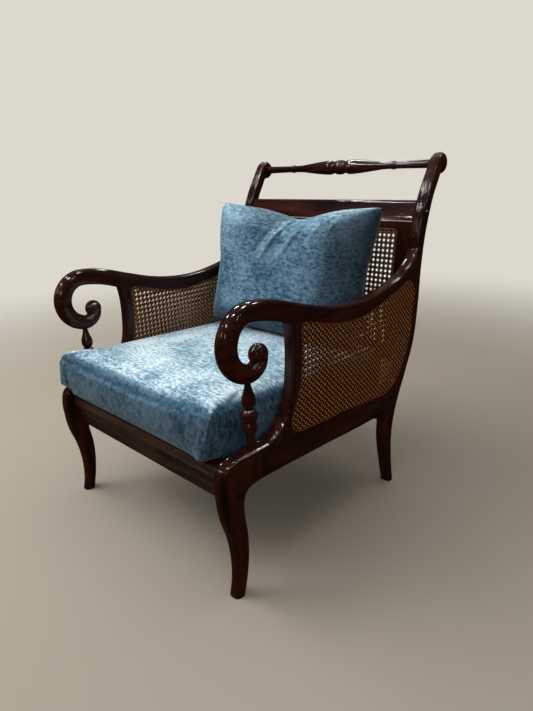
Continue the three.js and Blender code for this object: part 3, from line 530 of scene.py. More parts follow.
@dataclass(frozen=True)
class Moulding:
    """How the edges of a sawn member are worked, as keys along its length.

    The front edge is a slightly crowned face with rounded corners. A corner rounding as large as
    the member makes it a tube. The rear edges have a plain rounding. Quirks are fine grooves near
    the front corners, one in the front face and one in the side face, so that a bead stands
    between them. Reeds are grooves along the front face, at shares of the half thickness.
    """

    half: Keys = ((0, HALF_THICK), (1, HALF_THICK))
    corner: Keys = ((0, 3), (1, 3))
    rear: Keys = ((0, 1.5), (1, 1.5))
    crown: float = 0.5
    side_quirk: float = 6.0
    front_quirk: float = 5.0
    quirk_depth: Keys = ((0, 0.9), (1, 0.9))
    quirk_width: float = 0.85
    reeds: tuple[float, ...] = ()
    reed_depth: float = 0.0


@dataclass(frozen=True)
class SawnMember:
    """One sawn member of a side frame: two edge curves in side view, and a worked section."""

    name: str
    rows: Rows
    moulding: Moulding
    grain: Grain
    stations: int = 120

    def edges(self) -> np.ndarray:
        """Front and rear edge points, one row of four numbers for each station."""
        table = np.array(self.rows, float)
        return np.hstack([spline(table[:, :2], self.stations), spline(table[:, 2:], self.stations)])

    def rings(self, across: float) -> np.ndarray:
        """Works out the section at every station.

        In the section, a runs from the front edge to the rear edge and b across the thickness. Over
        the front face a = c (b / h)^2, plus a bell for each quirk or reed. The corner is a quarter
        of an ellipse. Then come the side face with its quirk, the rear rounding, and the other
        half, mirrored.

        Args:
            across: Distance of the member's middle plane from the chair's.

        Returns:
            Array of stations x points x 3.
        """
        edge = self.edges()
        front, rear = edge[:, :2], edge[:, 2:]
        chord = rear - front
        width = np.linalg.norm(chord, axis=1)
        along = chord / width[:, None]
        share = np.linspace(0, 1, self.stations)
        m = self.moulding
        half = keyed(m.half, share)[:, None]
        w = width[:, None]
        corner = keyed(m.corner, share)[:, None]
        nose = np.minimum(corner, (w - 0.6) / 2)
        nose_across = np.minimum(corner, half - 0.6)
        back = np.minimum(keyed(m.rear, share)[:, None], (w - 0.6) / 2)
        back_across = np.minimum(back, half - 0.6)
        depth = keyed(m.quirk_depth, share)[:, None]
        flat = half - nose_across
        b_face = flat * np.linspace(0, 1, 25)[None, :]
        a_face = m.crown * (b_face / half) ** 2
        a_face = a_face + depth * bell(b_face - (half - m.front_quirk), m.quirk_width) * (flat > 6)
        for reed in m.reeds:
            a_face = a_face + m.reed_depth * bell(b_face - reed * half, 0.8) * (flat > 6)
        turn = np.linspace(0, math.pi / 2, 9)[None, 1:]
        a_nose = a_face[:, -1:] + nose * (1 - np.cos(turn))
        b_nose = flat + nose_across * np.sin(turn)
        low, high = a_nose[:, -1:], w - back
        near = low + np.minimum(14.0, 0.7 * (high - low)) * np.linspace(0, 1, 21)[None, 1:]
        quirked = near[:, -1:] > m.side_quirk + 1
        b_near = half - depth * bell(near - m.side_quirk, m.quirk_width) * quirked
        after = near[:, -1:] + (high - near[:, -1:]) * np.array([[0.5, 0.97]])
        bend = np.linspace(0, math.pi / 2, 7)[None, :]
        a_back = high + back * np.sin(bend)
        b_back = half - back_across * (1 - np.cos(bend))
        a_half = np.hstack([a_face, a_nose, near, after, a_back, w])
        b_half = np.hstack([b_face, b_nose, b_near, half + 0 * after, b_back, 0 * w])
        a = np.hstack([a_half, a_half[:, -2:0:-1]])
        b = np.hstack([b_half, -b_half[:, -2:0:-1]])
        side_view = front[:, None, :] + along[:, None, :] * a[:, :, None]
        return np.concatenate([(across + b)[:, :, None], side_view], axis=2)


POST_ROWS: Rows = (
    (570.5, 0, 594.5, 0), (551.5, 80, 580.5, 82), (538, 160, 578, 156), (551, 248, 595, 229),
    (597, 328, 633.5, 314), (637, 402, 668, 397), (651, 495, 682, 493), (658, 590, 688, 588),
    (668, 668, 699, 662), (687, 734, 716, 722), (706, 776, 732, 763), (732, 819, 754, 801))
LEG_ROWS: Rows = (
    (-14, 0, 13, 0), (-5, 35, 21, 38), (-3, 85, 28.5, 88), (-10, 140, 29.5, 142),
    (-24, 190, 23.5, 190), (-30.3, 238, 23, 219), (-29.3, 275, 28, 236), (-20.5, 304, 37, 244.5),
    (4, 316.5, 50, 248.5), (45, 317, 68, 250), (90, 317, 92, 250))
RAIL_ROWS: Rows = (
    (90.2, 317, 92.2, 250), (150, 317, 150, 247.5), (225, 313, 224, 243),
    (296, 308, 295, 239.5), (375, 303, 374, 234), (441, 297, 440, 230.5), (507, 290, 500, 228.5),
    (545, 291.5, 524, 226.5), (574, 297, 541, 220), (596, 303, 556, 206))
ARM_POST_ROWS: Rows = (
    (84, 309, 196, 309), (108, 320.5, 187, 324), (128, 329, 179, 337), (144, 343, 180, 350),
    (156, 360, 186, 364), (167, 385, 197, 387), (176.5, 418, 207, 419), (181, 460, 211, 460),
    (181.8, 508, 212, 506), (179, 536, 212, 530), (174, 562, 212, 550))
ARM_ROWS: Rows = (
    (674, 660, 664, 512), (655, 623, 650, 534), (632, 601, 633, 549), (604, 584, 606, 549),
    (572, 573, 575, 540), (535, 564, 538, 528), (449, 550.5, 449, 511), (370, 551.5, 369, 508),
    (290, 563.5, 286, 520), (210, 586, 204, 541), (130, 609.5, 124, 568), (75, 616, 75, 575.5))
CANE_OUTLINE: tuple[tuple[float, float], ...] = (
    (190, 309), (225, 303.5), (296, 299.5), (375, 294.5), (460, 286.5), (535, 280.5), (583, 298),
    (620, 344), (650, 412), (660, 491), (666, 526), (657, 549), (635, 563.5), (573, 548.5),
    (492, 526.5), (409, 513.5), (332, 519.5), (258, 537.5), (217, 548), (205.5, 541),
    (204.5, 501), (203, 458), (199, 424), (182, 375), (167, 342), (171, 321))


def arc_rows(centre: tuple[float, float], radius: float, start: float, turn: float,
             depths: tuple[float, float], count: int, swell: float = 0.0) -> Rows:
    """Rows of a member that runs round a circle in side view, outer edge first.

    Args:
        centre: Depth and level of the circle's centre.
        radius: Radius of the member's middle line.
        start: Angle of the first row, in degrees from the back of the chair.
        turn: How far the member turns, in degrees.
        depths: The member's depth at the first and the last row.
        count: How many rows, without the first.
        swell: How much the member is deeper half way, all of it outwards.
    """
    share = np.linspace(0, 1, count + 1)[1:]
    angle = np.radians(start + turn * share)
    ray = np.stack([np.cos(angle), np.sin(angle)], -1)
    half = ((depths[0] + (depths[1] - depths[0]) * share) / 2)[:, None]
    outer = np.array(centre) + ray * (radius + half + swell * np.sin(math.pi * share)[:, None])
    inner = np.array(centre) + ray * (radius - half)
    return tuple(map(tuple, np.hstack([outer, inner])))


def outline_curve(inset: float, step: float = 3.0) -> np.ndarray:
    """The visible edge of the side cane as an even closed curve, moved inwards by inset."""
    table = np.array(CANE_OUTLINE + CANE_OUTLINE[:3], float)
    dense = spline(table, 40 * (len(table) - 1) + 1)[40:-40]
    even = evenly(dense[:-1], step)
    tangent = np.roll(even, -1, axis=0) - np.roll(even, 1, axis=0)
    tangent /= np.linalg.norm(tangent, axis=1)[:, None]
    return even + inset * np.stack([-tangent[:, 1], tangent[:, 0]], -1)


def prism(outline: np.ndarray, low: float,
          high: float) -> tuple[np.ndarray, np.ndarray, np.ndarray]:
    """A closed block over an outline in side view, between two distances across."""
    rings = np.stack([np.column_stack([np.full(len(outline), x), outline]) for x in (low, high)])
    return loft(rings)


def cut(piece: bpy.types.Object, cutter: bpy.types.Object) -> None:
    """Takes the cutter out of the piece and keeps the piece's smooth shading."""
    boolean = piece.modifiers.new("recess", "BOOLEAN")
    boolean.operation, boolean.object, boolean.solver = "DIFFERENCE", cutter, "EXACT"
    graph = bpy.context.evaluated_depsgraph_get()
    result = bpy.data.meshes.new_from_object(piece.evaluated_get(graph))
    piece.modifiers.clear()
    old, piece.data = piece.data, result
    bpy.data.meshes.remove(old)
    result.polygons.foreach_set("use_smooth", np.ones(len(result.polygons), bool))
    result.set_sharp_from_angle(angle=math.radians(32))
    normals = piece.modifiers.new("even_shading", "WEIGHTED_NORMAL")
    normals.keep_sharp = True


@dataclass
class SideFrame:
    """One side frame: leg, rail, arm post, scroll arm, back post, baluster, canes and plugs."""

    side: Side
    scroll_centre: tuple[float, float] = (74.9, 535.5)
    scroll_radius: float = 60.25
    curl_radius: float = 34.0
    scroll_half: float = 18.5
    ball_centre: tuple[float, float] = (92.9, 508.9)
    ball_radius: float = 21.5
    roll_centre: tuple[float, float] = (776.8, 840.4)
    roll_turn: tuple[float, float] = (148.0, -88.0)
    roll_radius: float = 26.2
    recess_floor: float = 11.7
    members: list[bpy.types.Object] = field(default_factory=list)

    @property
    def across(self) -> float:
        """Distance of the frame's middle plane from the chair's middle."""
        return self.side.value * HALF_SPACING

    def node(self, name: str) -> str:
        """The CAD node's name on this side."""
        return f"{self.side.name.lower()}_{name}"

    def scroll_rows(self) -> Rows:
        """Arm rows, then the scroll's circle, then the tighter circle of its curl."""
        bottom = math.radians(250)
        lead = self.scroll_radius - self.curl_radius
        curl_centre = (self.scroll_centre[0] + lead * math.cos(bottom),
                       self.scroll_centre[1] + lead * math.sin(bottom))
        return (ARM_ROWS
                + arc_rows(self.scroll_centre, self.scroll_radius, 90, 160, (40.5, 39), 9, 4.8)
                + arc_rows(curl_centre, self.curl_radius, 250, 106, (39, 26), 8))

    def post_rows(self) -> Rows:
        """Post rows, then the roll at its top: the front edge runs over a circle about its eye."""
        angle = np.radians(np.linspace(*self.roll_turn, 12))
        ray = np.stack([np.cos(angle), np.sin(angle)], -1)
        centre = np.array(self.roll_centre)
        roll = np.hstack([centre + self.roll_radius * ray, centre + 1.2 * ray])
        return POST_ROWS + tuple(map(tuple, roll))

    def build_members(self) -> None:
        """Lofts the five sawn members and cuts the recess for the cane into them."""
        wide = self.scroll_half
        specs = (
            SawnMember("front_leg", LEG_ROWS, Moulding(
                half=((0, 15.5), (0.1, 16), (0.35, 16), (0.5, 15), (1, 15)),
                corner=((0, 12.5), (0.12, 9), (0.35, 8), (0.55, 4), (1, 3)),
                rear=((0, 11), (0.12, 8), (0.35, 7), (0.5, 3), (1, 1.5)),
                quirk_depth=((0, 0), (0.35, 0), (0.5, 0.9), (1, 0.9))), Grain.LEVEL, 130),
            SawnMember("side_rail", RAIL_ROWS, Moulding(
                half=((0, 14.9), (1, 14.9)), corner=((0, 3), (1, 3)),
                quirk_depth=((0, 0.9), (0.12, 0.9), (0.2, 0), (1, 0))), Grain.DEPTH, 110),
            SawnMember("arm_post", ARM_POST_ROWS, Moulding(
                half=((0, 14.9), (1, 14.9)), corner=((0, 3), (1, 3)),
                rear=((0, 1.2), (1, 1.2))), Grain.LEVEL, 90),
            SawnMember("scroll_arm", self.scroll_rows(), Moulding(
                half=((0, 14.9), (0.38, 15), (0.54, wide), (0.9, wide), (1, 15)),
                corner=((0, 6), (0.3, 6), (0.38, 10), (0.48, 20), (1, 20)),
                rear=((0, 1.5), (0.34, 2), (0.46, 20), (1, 20)), crown=1.2, side_quirk=11.0,
                quirk_depth=((0, 1.5), (0.33, 1.5), (0.42, 0), (1, 0)), quirk_width=1.3),
                Grain.DEPTH, 250),
            SawnMember("back_post", self.post_rows(), Moulding(
                half=((0, 15), (0.05, 15.5), (0.15, 15), (1, 15)),
                corner=((0, 9), (0.12, 7), (0.2, 5.5), (0.5, 6), (0.62, 11), (1, 12)),
                rear=((0, 9), (0.12, 7), (0.2, 1.5), (0.8, 1.5), (1, 6)),
                crown=1.6, quirk_depth=((0, 0), (1, 0)), reeds=(0.0, 0.36), reed_depth=0.6),
                Grain.LEVEL, 260),
        )
        cutter = self.recess_cutter()
        for spec in specs:
            parts = [loft(spec.rings(self.across))]
            if spec.name == "scroll_arm":
                parts.append(self.ball())
            if spec.name == "back_post":
                parts.append(self.eye())
            piece = add_mesh(self.node(spec.name) + "_worked", *merge(parts))
            if spec.name != "front_leg":
                cut(piece, cutter)
            dress(piece, MAHOGANY.material(spec.grain), (self.node(spec.name),))
            self.members.append(piece)
        bpy.data.objects.remove(cutter)

    def recess_cutter(self) -> bpy.types.Object:
        """Two blocks that take the shallow beds of the cane out of both faces of the frame."""
        edge = outline_curve(0.0)
        beds = [prism(edge, self.across + low, self.across + high)
                for low, high in ((self.recess_floor, 30.0), (-30.0, -self.recess_floor))]
        return add_mesh(self.node("recess"), *merge(beds))

    def ball(self) -> tuple[np.ndarray, np.ndarray, np.ndarray]:
        """The knob that ends the scroll: a ball, flattened across, with a sunk ring in its sides.

        A circle's radius at each distance across follows r = R sqrt(1 - x^2), less the ring.
        """
        x = np.cos(np.linspace(0.05, math.pi - 0.05, 41))
        radius = self.ball_radius * np.sqrt(1 - x**2)
        bulge = self.scroll_half * x
        ring = 0.6 * np.exp(-(((radius - 8.5) / 1.3) ** 2))
        return turned_x(self.across + bulge - 0.8 * ring * np.sign(x), radius, self.ball_centre, 48)

    def eye(self) -> tuple[np.ndarray, np.ndarray, np.ndarray]:
        """The small button in the middle of the roll at the top of the back post."""
        turn = np.linspace(0, math.pi / 2, 8)
        radius = np.concatenate([[0.05], 3.6 * np.sin(turn[1:])])
        x = np.concatenate([[15.5], 13.9 + 1.6 * np.cos(turn[1:])])
        return turned_x(self.across + np.concatenate([x, -x[::-1]]),
                        np.concatenate([radius, radius[::-1]]), self.roll_centre, 24)

    def build_baluster(self) -> None:
        """The turned baluster between the knee and the underside of the scroll."""
        share = np.array([0, .023, .07, .118, .211, .287, .343, .40, .428, .447, .495, .551, .617,
                          .649, .683, .74, .796, .891, .965, 1.02, 1.1])
        size = np.array([.37, .35, .36, .40, .49, .70, .84, .84, .68, .75, .93, 1.0, .81, .52, .66,
                         .81, .81, .60, .43, .37, .37])
        fine = np.linspace(0, 1.1, 140)
        profile = spline(np.column_stack([share, size]), 500)
        radius = 17.4 * np.interp(fine, profile[:, 0], profile[:, 1])
        level = 316.9 + 138.1 * fine
        points = turned_z(level, radius, (self.across, 61.0), 40)
        piece = add_mesh(self.node("baluster") + "_turned", *points)
        dress(piece, MAHOGANY.material(Grain.LEVEL), (self.node("baluster"),))

    def build_plugs(self) -> None:
        """Domed plugs over the six screws, and the screws' own finish."""
        for name in ("front_plug", "rear_plug", "crest_plug"):
            low, high = (np.array(c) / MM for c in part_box(self.node(name)))
            centre = (low + high) / 2 - np.array([0, CENTRE_SHIFT, 0])
            out = self.side.value
            radius = (high[1] - low[1]) / 2
            turn = np.linspace(0, math.pi / 2, 10)
            r = np.concatenate([[0.05], np.full(2, radius), radius * np.cos(turn[1:-1]), [0.05]])
            foot = min(abs(low[0]), abs(high[0]))
            proud = 4.4 if name == "crest_plug" else 1.4
            face = HALF_SPACING + HALF_THICK
            x = np.concatenate([[foot, foot, face], face + proud * np.sin(turn[1:-1]),
                                [face + proud]])
            points = turned_x(out * x, r, (centre[1], centre[2]), 32)
            piece = add_mesh(self.node(name) + "_domed", *points)
            dress(piece, PLUG.material(), (self.node(name),))
        for name in ("front_screw", "rear_screw", "crest_screw"):
            paint(self.node(name), STEEL.material())

    def build_canes(self) -> None:
        """The outer and the inner cane sheet with the binder strand that covers their edge."""
        for name, face in (("outer", 1), ("inner", -1)):
            across = self.across + self.side.value * face * 12.9
            out = self.side.value * face
            shift = (1.7, -4.1) if (self.side, name) == (Side.RIGHT, "outer") else (0.0, 0.0)
            weave = CaneWeave(outline_curve(0.6), shift=shift)
            piece = weave.piece(self.node(f"{name}_cane") + "_woven",
                                lambda p, q, h: np.stack([across + out * h, p, q], -1))
            # The side cane's colour is painted lighter to make up for the shade on the chair's
            # sides.
            dress(piece, BRIGHTENED_CANE.material(), (self.node(f"{name}_cane"),))
            # The binder's height is kept as lift, so that its low edges get the painted shade of
            # the finish.
            rim = binder(outline_curve(2.8, 1.2), width=2.8, height=1.3, beads=6.7)
            across_rim = across + out * (rim[0][:, 0] + 0.5)
            points = np.column_stack([across_rim, rim[0][:, 1], rim[0][:, 2]])
            piece = add_mesh(self.node(f"{name}_cane_band") + "_bound", points, rim[1],
                             lift=rim[0][:, 0])
            dress(piece, CANE_BINDER.material(), (self.node(f"{name}_cane_band"),))

    def build(self) -> None:
        """Builds and dresses the whole side frame."""
        self.build_members()
        self.build_baluster()
        self.build_plugs()
        self.build_canes()


def turned_x(x: np.ndarray, radius: np.ndarray, centre: tuple[float, float],
             around: int) -> tuple[np.ndarray, np.ndarray, np.ndarray]:
    """A skin turned about a line across the chair: circles of the given radii at the given x."""
    angle = np.linspace(0, 2 * math.pi, around, endpoint=False)
    ring = np.stack([np.cos(angle), np.sin(angle)], -1)
    view = np.array(centre) + radius[:, None, None] * ring[None]
    return loft(np.concatenate([np.broadcast_to(x[:, None, None], (len(x), around, 1)), view], 2))


def turned_z(level: np.ndarray, radius: np.ndarray, centre: tuple[float, float],
             around: int) -> tuple[np.ndarray, np.ndarray, np.ndarray]:
    """A skin turned about an upright line: circles of the given radii at the given levels."""
    angle = np.linspace(0, 2 * math.pi, around, endpoint=False)
    ring = np.stack([np.cos(angle), np.sin(angle)], -1)
    plan = np.array(centre) + radius[:, None, None] * ring[None]
    height = np.broadcast_to(level[:, None, None], (len(level), around, 1))
    return loft(np.concatenate([plan, height], 2))


def paint(node: str, material: bpy.types.Material) -> None:
    """Gives a CAD node that stays in view a finish."""
    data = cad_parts[node].data
    data.materials.clear()
    data.materials.append(material)
    LOG.info("%s: painted", node)


# Cane weave


def binder(curve: np.ndarray, width: float, height: float,
           beads: float) -> tuple[np.ndarray, np.ndarray]:
    """A strand laid flat along a closed curve and looped down every few millimetres.

    The strand is half an ellipse, width wide and height high. Both swell and shrink by a fifth as a
    sine of the run along the curve, once for each bead. Without beads it is even.

    Args:
        curve: The closed curve, in the plane of the sheet.
        width: The strand's width.
        height: The strand's height over the sheet.
        beads: Length of one bead, or 0 for none.

    Returns:
        Points as (height, depth, level) and quads.
    """
    tangent = np.roll(curve, -1, axis=0) - np.roll(curve, 1, axis=0)
    tangent /= np.linalg.norm(tangent, axis=1)[:, None]
    normal = np.stack([-tangent[:, 1], tangent[:, 0]], -1)
    run = np.cumsum(np.linalg.norm(np.roll(curve, -1, axis=0) - curve, axis=1))
    swell = 1 + 0.22 * np.sin(2 * math.pi * run / beads) if beads else np.ones(len(run))
    angle = np.linspace(0, math.pi, 7)
    offset = width / 2 * np.cos(angle)
    lift = height * np.sin(angle)
    lift[0] = lift[-1] = -0.8
    flat = curve[:, None, :] + normal[:, None, :] * (offset[None, :] * swell[:, None])[:, :, None]
    high = np.broadcast_to(lift[None, :], flat.shape[:2]) * swell[:, None]
    rings = np.concatenate([high[:, :, None], flat], axis=2)
    count, around = rings.shape[:2]
    row = np.arange(count)[:, None] * around
    nxt_row = ((np.arange(count) + 1) % count)[:, None] * around
    col = np.arange(around)[None, :]
    nxt = (col + 1) % around
    quads = np.stack([row + col, row + nxt, nxt_row + nxt, nxt_row + col], -1).reshape(-1, 4)
    return rings.reshape(-1, 3), quads


@dataclass(frozen=True)
class CaneWeave:
    """Six-way cane: upright and level pairs of strands, with two slanted sets woven over them.

    In units of the pitch, the pairs lie on whole numbers and the slanted strands on x + y and x - y
    equal to a whole number and a half, so that the open places are eight-sided.
    """

    outline: np.ndarray
    pitch: float = 13.4
    strand: float = 2.3
    slanted: float = 2.5
    pair_gap: float = 1.5
    thick: float = 0.55
    shift: tuple[float, float] = (0.0, 0.0)

    def spans(self, origin: np.ndarray, heading: np.ndarray) -> list[tuple[float, float]]:
        """The stretches of a line that lie inside the outline, as distances from its origin.

        Each side of the outline that the line crosses gives one distance. Sorted, they are the
        starts and ends of the stretches.
        """
        normal = np.array([-heading[1], heading[0]])
        start, end = self.outline, np.roll(self.outline, -1, axis=0)
        d0, d1 = (start - origin) @ normal, (end - origin) @ normal
        hit = (d0 > 0) != (d1 > 0)
        share = d0[hit] / (d0[hit] - d1[hit])
        at = np.sort((start[hit] + (end[hit] - start[hit]) * share[:, None] - origin) @ heading)
        return [(a, b) for a, b in zip(at[::2], at[1::2]) if b - a > 2.0]

    def strip(self, origin: np.ndarray, heading: np.ndarray, span: tuple[float, float],
              width: float, step: float, phase: float, mean: float, wave: float) -> np.ndarray:
        """Rings of one strand: h = mean + wave cos(pi (s - phase) / step) at the distance s.

        Args:
            origin: A point on the strand's middle line.
            heading: The line's unit direction.
            span: Where the strand starts and ends, as distances from the origin.
            width: Its width.
            step: Distance from one crossing to the next.
            phase: Distance of a crest from the origin.
            mean: Its mean height over the sheet's middle plane.
            wave: How far it rises and dips.

        Returns:
            Array of rings x 4 x 3: the sheet's own x and y, and the height.
        """
        first, last = math.ceil(span[0] / step * 2), math.floor(span[1] / step * 2)
        s = np.unique(np.concatenate([[span[0]], np.arange(first, last + 1) * step / 2, [span[1]]]))
        s = s[(s >= span[0]) & (s <= span[1])]
        h = mean + wave * np.cos(math.pi * (s - phase) / step)
        side = np.array([-heading[1], heading[0]])
        offset = np.array([-0.5, -0.28, 0.28, 0.5]) * width
        lift = np.array([-0.5, 0.5, 0.5, -0.5]) * self.thick
        flat = (origin + s[:, None] * heading)[:, None, :] + side * offset[None, :, None]
        high = h[:, None] + lift[None, :]
        return np.concatenate([flat, high[:, :, None]], axis=2)

    def piece(self, name: str, place: Place) -> bpy.types.Object:
        """All strands of the sheet as one object.

        Args:
            name: The piece's name.
            place: Turns arrays of the sheet's own x, y and height into points.

        Returns:
            The new object.
        """
        low, high = self.outline.min(axis=0), self.outline.max(axis=0)
        middle = (low + high) / 2 + np.array(self.shift)
        p = self.pitch
        reach = int(np.ceil((high - low).sum() / p)) + 2
        slant = math.sqrt(0.5)
        strips = []
        for k in range(-reach, reach + 1):
            for pair in (-1, 1):
                shift = k * p + pair * self.pair_gap
                for heading, mean in ((np.array([0.0, 1.0]), -0.2 + 0.22 * pair),
                                      (np.array([1.0, 0.0]), 0.05 + 0.12 * pair)):
                    across = np.array([heading[1], heading[0]])
                    origin = middle + across * shift
                    for span in self.spans(origin, heading):
                        strips.append(self.strip(origin, heading, span, self.strand, p / 2, 0.0,
                                                 mean, 0.16 * pair))
            for sign in (1, -1):
                heading = np.array([slant, -sign * slant])
                origin = middle + np.array([(k + 0.5) * p, 0.0])
                step = p * slant
                for span in self.spans(origin, heading):
                    strips.append(self.strip(origin, heading, span, self.slanted, step,
                                             0.0 if sign > 0 else step, 0.3, 0.55))
        points, quads, tris = merge([loft(rings) for rings in strips])
        return add_mesh(name, place(points[:, 0], points[:, 1], points[:, 2]), quads, tris,
                        lift=points[:, 2])


# Boards that run across the chair


def node_points(node: str) -> np.ndarray:
    """The corner points of a CAD node, in design millimetres."""
    return mesh_points(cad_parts[node].data)


def hull(points: np.ndarray) -> np.ndarray:
    """The convex outline of flat points, anticlockwise, by the monotone chain."""
    pts = np.unique(np.round(points, 3), axis=0)
    chains = []
    for order in (pts, pts[::-1]):
        chain: list[np.ndarray] = []
        for p in order:
            while len(chain) > 1:
                u, v = chain[-1] - chain[-2], p - chain[-1]
                if u[0] * v[1] - u[1] * v[0] > 1e-6:
                    break
                chain.pop()
            chain.append(p)
        chains += chain[:-1]
    return np.array(chains)


def rounded(corners: np.ndarray, radius: float, steps: int = 5) -> np.ndarray:
    """A convex outline with each corner replaced by an arc-like curve of the given reach."""
    before, after = np.roll(corners, 1, axis=0), np.roll(corners, -1, axis=0)
    a, b = before - corners, after - corners
    la, lb = np.linalg.norm(a, axis=1)[:, None], np.linalg.norm(b, axis=1)[:, None]
    reach = np.minimum(radius, np.minimum(la, lb) * 0.45)
    start, end = corners + a / la * reach, corners + b / lb * reach
    t = np.linspace(0, 1, steps)[None, :, None]
    curve = (1 - t) ** 2 * start[:, None] + 2 * t * (1 - t) * corners[:, None] + t**2 * end[:, None]
    return curve.reshape(-1, 2)


def across_rings(ring: np.ndarray, x: np.ndarray) -> np.ndarray:
    """The same section in side view at each of the distances x across the chair."""
    return np.concatenate([
        np.broadcast_to(x[:, None, None], (len(x), len(ring), 1)),
        np.broadcast_to(ring[None], (len(x),) + ring.shape)], axis=2)


@dataclass
class CrossBoards:
    """Front rail, rear rail, seat frame, crest board, back frame and turned rail."""

    edge: float = 2.0

    def board(self, node: str, radius: float) -> None:
        """One straight board across the chair, its section taken from its CAD node's outline."""
        points = node_points(node)
        ring = rounded(hull(points[:, 1:]), radius)
        low, high = points[:, 0].min(), points[:, 0].max()
        rings = across_rings(ring, np.linspace(low, high, 9))
        piece = add_mesh(node + "_planed", *loft(rings))
        dull = node in ("front_rail", "seat_frame_front")
        finish = FRONT_RAIL_MAHOGANY if dull else MAHOGANY
        dress(piece, finish.material(Grain.ACROSS), (node,))

    def build(self) -> None:
        """Builds every board, then the turned rail and the back cane."""
        for node in ("front_rail", "rear_rail", "back_top_rail", "back_bottom_rail",
                     "seat_frame_front", "seat_frame_rear"):
            self.board(node, 0.8 if node == "back_top_rail" else self.edge)
        self.crest()
        for node in ("back_stile_left", "back_stile_right"):
            paint(node, MAHOGANY.material(Grain.LEVEL))
        for node in ("seat_frame_left", "seat_frame_right"):
            paint(node, MAHOGANY.material(Grain.DEPTH))
        self.turned_rail()
        self.back_cane()
        self.seat_cane()

    def crest(self) -> None:
        """The crest board: a leaning face with a bead along its top.

        In its section, along runs up the face and back goes into the board. The top is a half
        circle, with a quirk under it on the front.
        """
        lean = math.radians(25.0)
        turn = np.linspace(0, math.pi, 15)
        top = np.column_stack([49.0 + 9.5 * np.sin(turn), 9.5 + 9.5 * np.cos(turn)])
        quirk = np.array([(48.1, 0.0), (47.4, 1.3), (46.5, 1.3), (45.7, 0.0)])
        foot = np.array([(1.2, 0.0), (0.5, 0.3), (0.5, 1.4), (8.8, 18.6), (9.6, 19.0),
                         (26.0, 19.0)])
        section = np.vstack([top, quirk, np.array([(30.0, 0.0), (15.0, 0.0)]), foot])
        along, back = section.T
        ring = np.column_stack([683.0 + along * math.sin(lean) + back * math.cos(lean),
                                702.6 + along * math.cos(lean) - back * math.sin(lean)])
        rings = across_rings(ring, np.linspace(-294.7, 294.7, 25))
        piece = add_mesh("crest_board_moulded", *loft(rings))
        dress(piece, MAHOGANY.material(Grain.ACROSS), ("crest_board",))

    def turned_rail(self) -> None:
        """The turned rail between the rolled post tops, mirrored about its middle ring."""
        share = np.array([0, .03, .058, .064, .07, .085, .125, .2, .31, .41, .49, .56, .59, .603,
                          .611, .619, .627, .64, .7, .8, .93, 1.0])
        size = np.array([1, .96, .72, .68, .72, .86, .98, .93, .78, .62, .5, .47, .48, .57, .52,
                         .57, .48, .46, .465, .485, .52, .54])
        profile = spline(np.column_stack([share, size]), 600)
        fine = np.linspace(0, 1, 220)
        radius = 20.4 * np.interp(fine, profile[:, 0], profile[:, 1])
        x = np.concatenate([-fine[::-1], fine[1:]]) * 295.2
        r = np.concatenate([radius[::-1], radius[1:]])
        piece = add_mesh("turned_top_rail_turned", *turned_x(x, r, (776.1, 839.8), 40))
        dress(piece, MAHOGANY.material(Grain.ACROSS), ("turned_top_rail",))

    def back_cane(self) -> None:
        """The single cane sheet of the back and the flat binder round it."""
        points = node_points("back_cane")
        low, high = points.min(axis=0), points.max(axis=0)
        front_low = points[np.argmin(points[:, 2])]
        front_high = points[np.argmax(points[:, 2])]
        up = (front_high - front_low)[1:]
        up /= np.linalg.norm(up)
        length = (high[2] - low[2]) / up[1]
        outline = rounded_rectangle((low[0], 0.0), (high[0], length), 12.0)
        base = np.array([(low[1] + high[1]) / 2 - up[0] * length / 2, low[2]])

        def place(p: np.ndarray, q: np.ndarray, h: np.ndarray) -> np.ndarray:
            """Sheet coordinates on the leaning plane of the back, height towards the front."""
            return np.stack([p, base[0] + up[0] * q - up[1] * h,
                             base[1] + up[1] * q + up[0] * h], -1)

        weave = CaneWeave(outline, strand=2.9, slanted=3.1)
        piece = weave.piece("back_cane_woven", place)
        # The back cane's darker colour is painted shade.
        dress(piece, SHADED_BACK_CANE.material(), ("back_cane",))
        # The band's height is kept as lift, so that its low edges get the painted shade of the
        # finish.
        flat, quads = binder(rounded_rectangle((low[0] + 3.4, 3.4), (high[0] - 3.4, length - 3.4),
                                               14.0, 1.5), width=6.6, height=0.9, beads=0.0)
        piece = add_mesh("back_cane_band_bound", place(flat[:, 1], flat[:, 2], flat[:, 0] + 0.9),
                         quads, lift=flat[:, 0])
        dress(piece, SHADED_BACK_CANE.material(), ("back_cane_band",))

    def seat_cane(self) -> None:
        """The cane of the seat frame, hidden from above by the cushion."""
        points = node_points("seat_cane")
        low, high = points.min(axis=0), points.max(axis=0)
        outline = rounded_rectangle((low[0], low[1]), (high[0], high[1]), 45.0)
        fall = math.tan(math.radians(3.0))
        level = points[np.argmin(points[:, 1]), 2]

        def place(p: np.ndarray, q: np.ndarray, h: np.ndarray) -> np.ndarray:
            """Sheet coordinates on the sloping plane of the seat."""
            return np.stack([p, q, level - (q - low[1]) * fall + h], -1)

        piece = CaneWeave(outline).piece("seat_cane_woven", place)
        # The seat cane's dark colour is painted shade under the cushion.
        dress(piece, SHADED_CANE.material(), ("seat_cane",))


def rounded_rectangle(low: tuple[float, float], high: tuple[float, float],
                      radius: float, step: float = 0.0) -> np.ndarray:
    """A rectangle between two corners with rounded corners, anticlockwise.

    Args:
        low: Its lower left corner.
        high: Its upper right corner.
        radius: Reach of the corner curves.
        step: If set, the spacing of even points along the whole outline.

    Returns:
        The outline's points.
    """
    corners = np.array([low, (high[0], low[1]), high, (low[0], high[1])], float)
    outline = rounded(corners, radius, 7)
    return evenly(outline, step) if step else outline


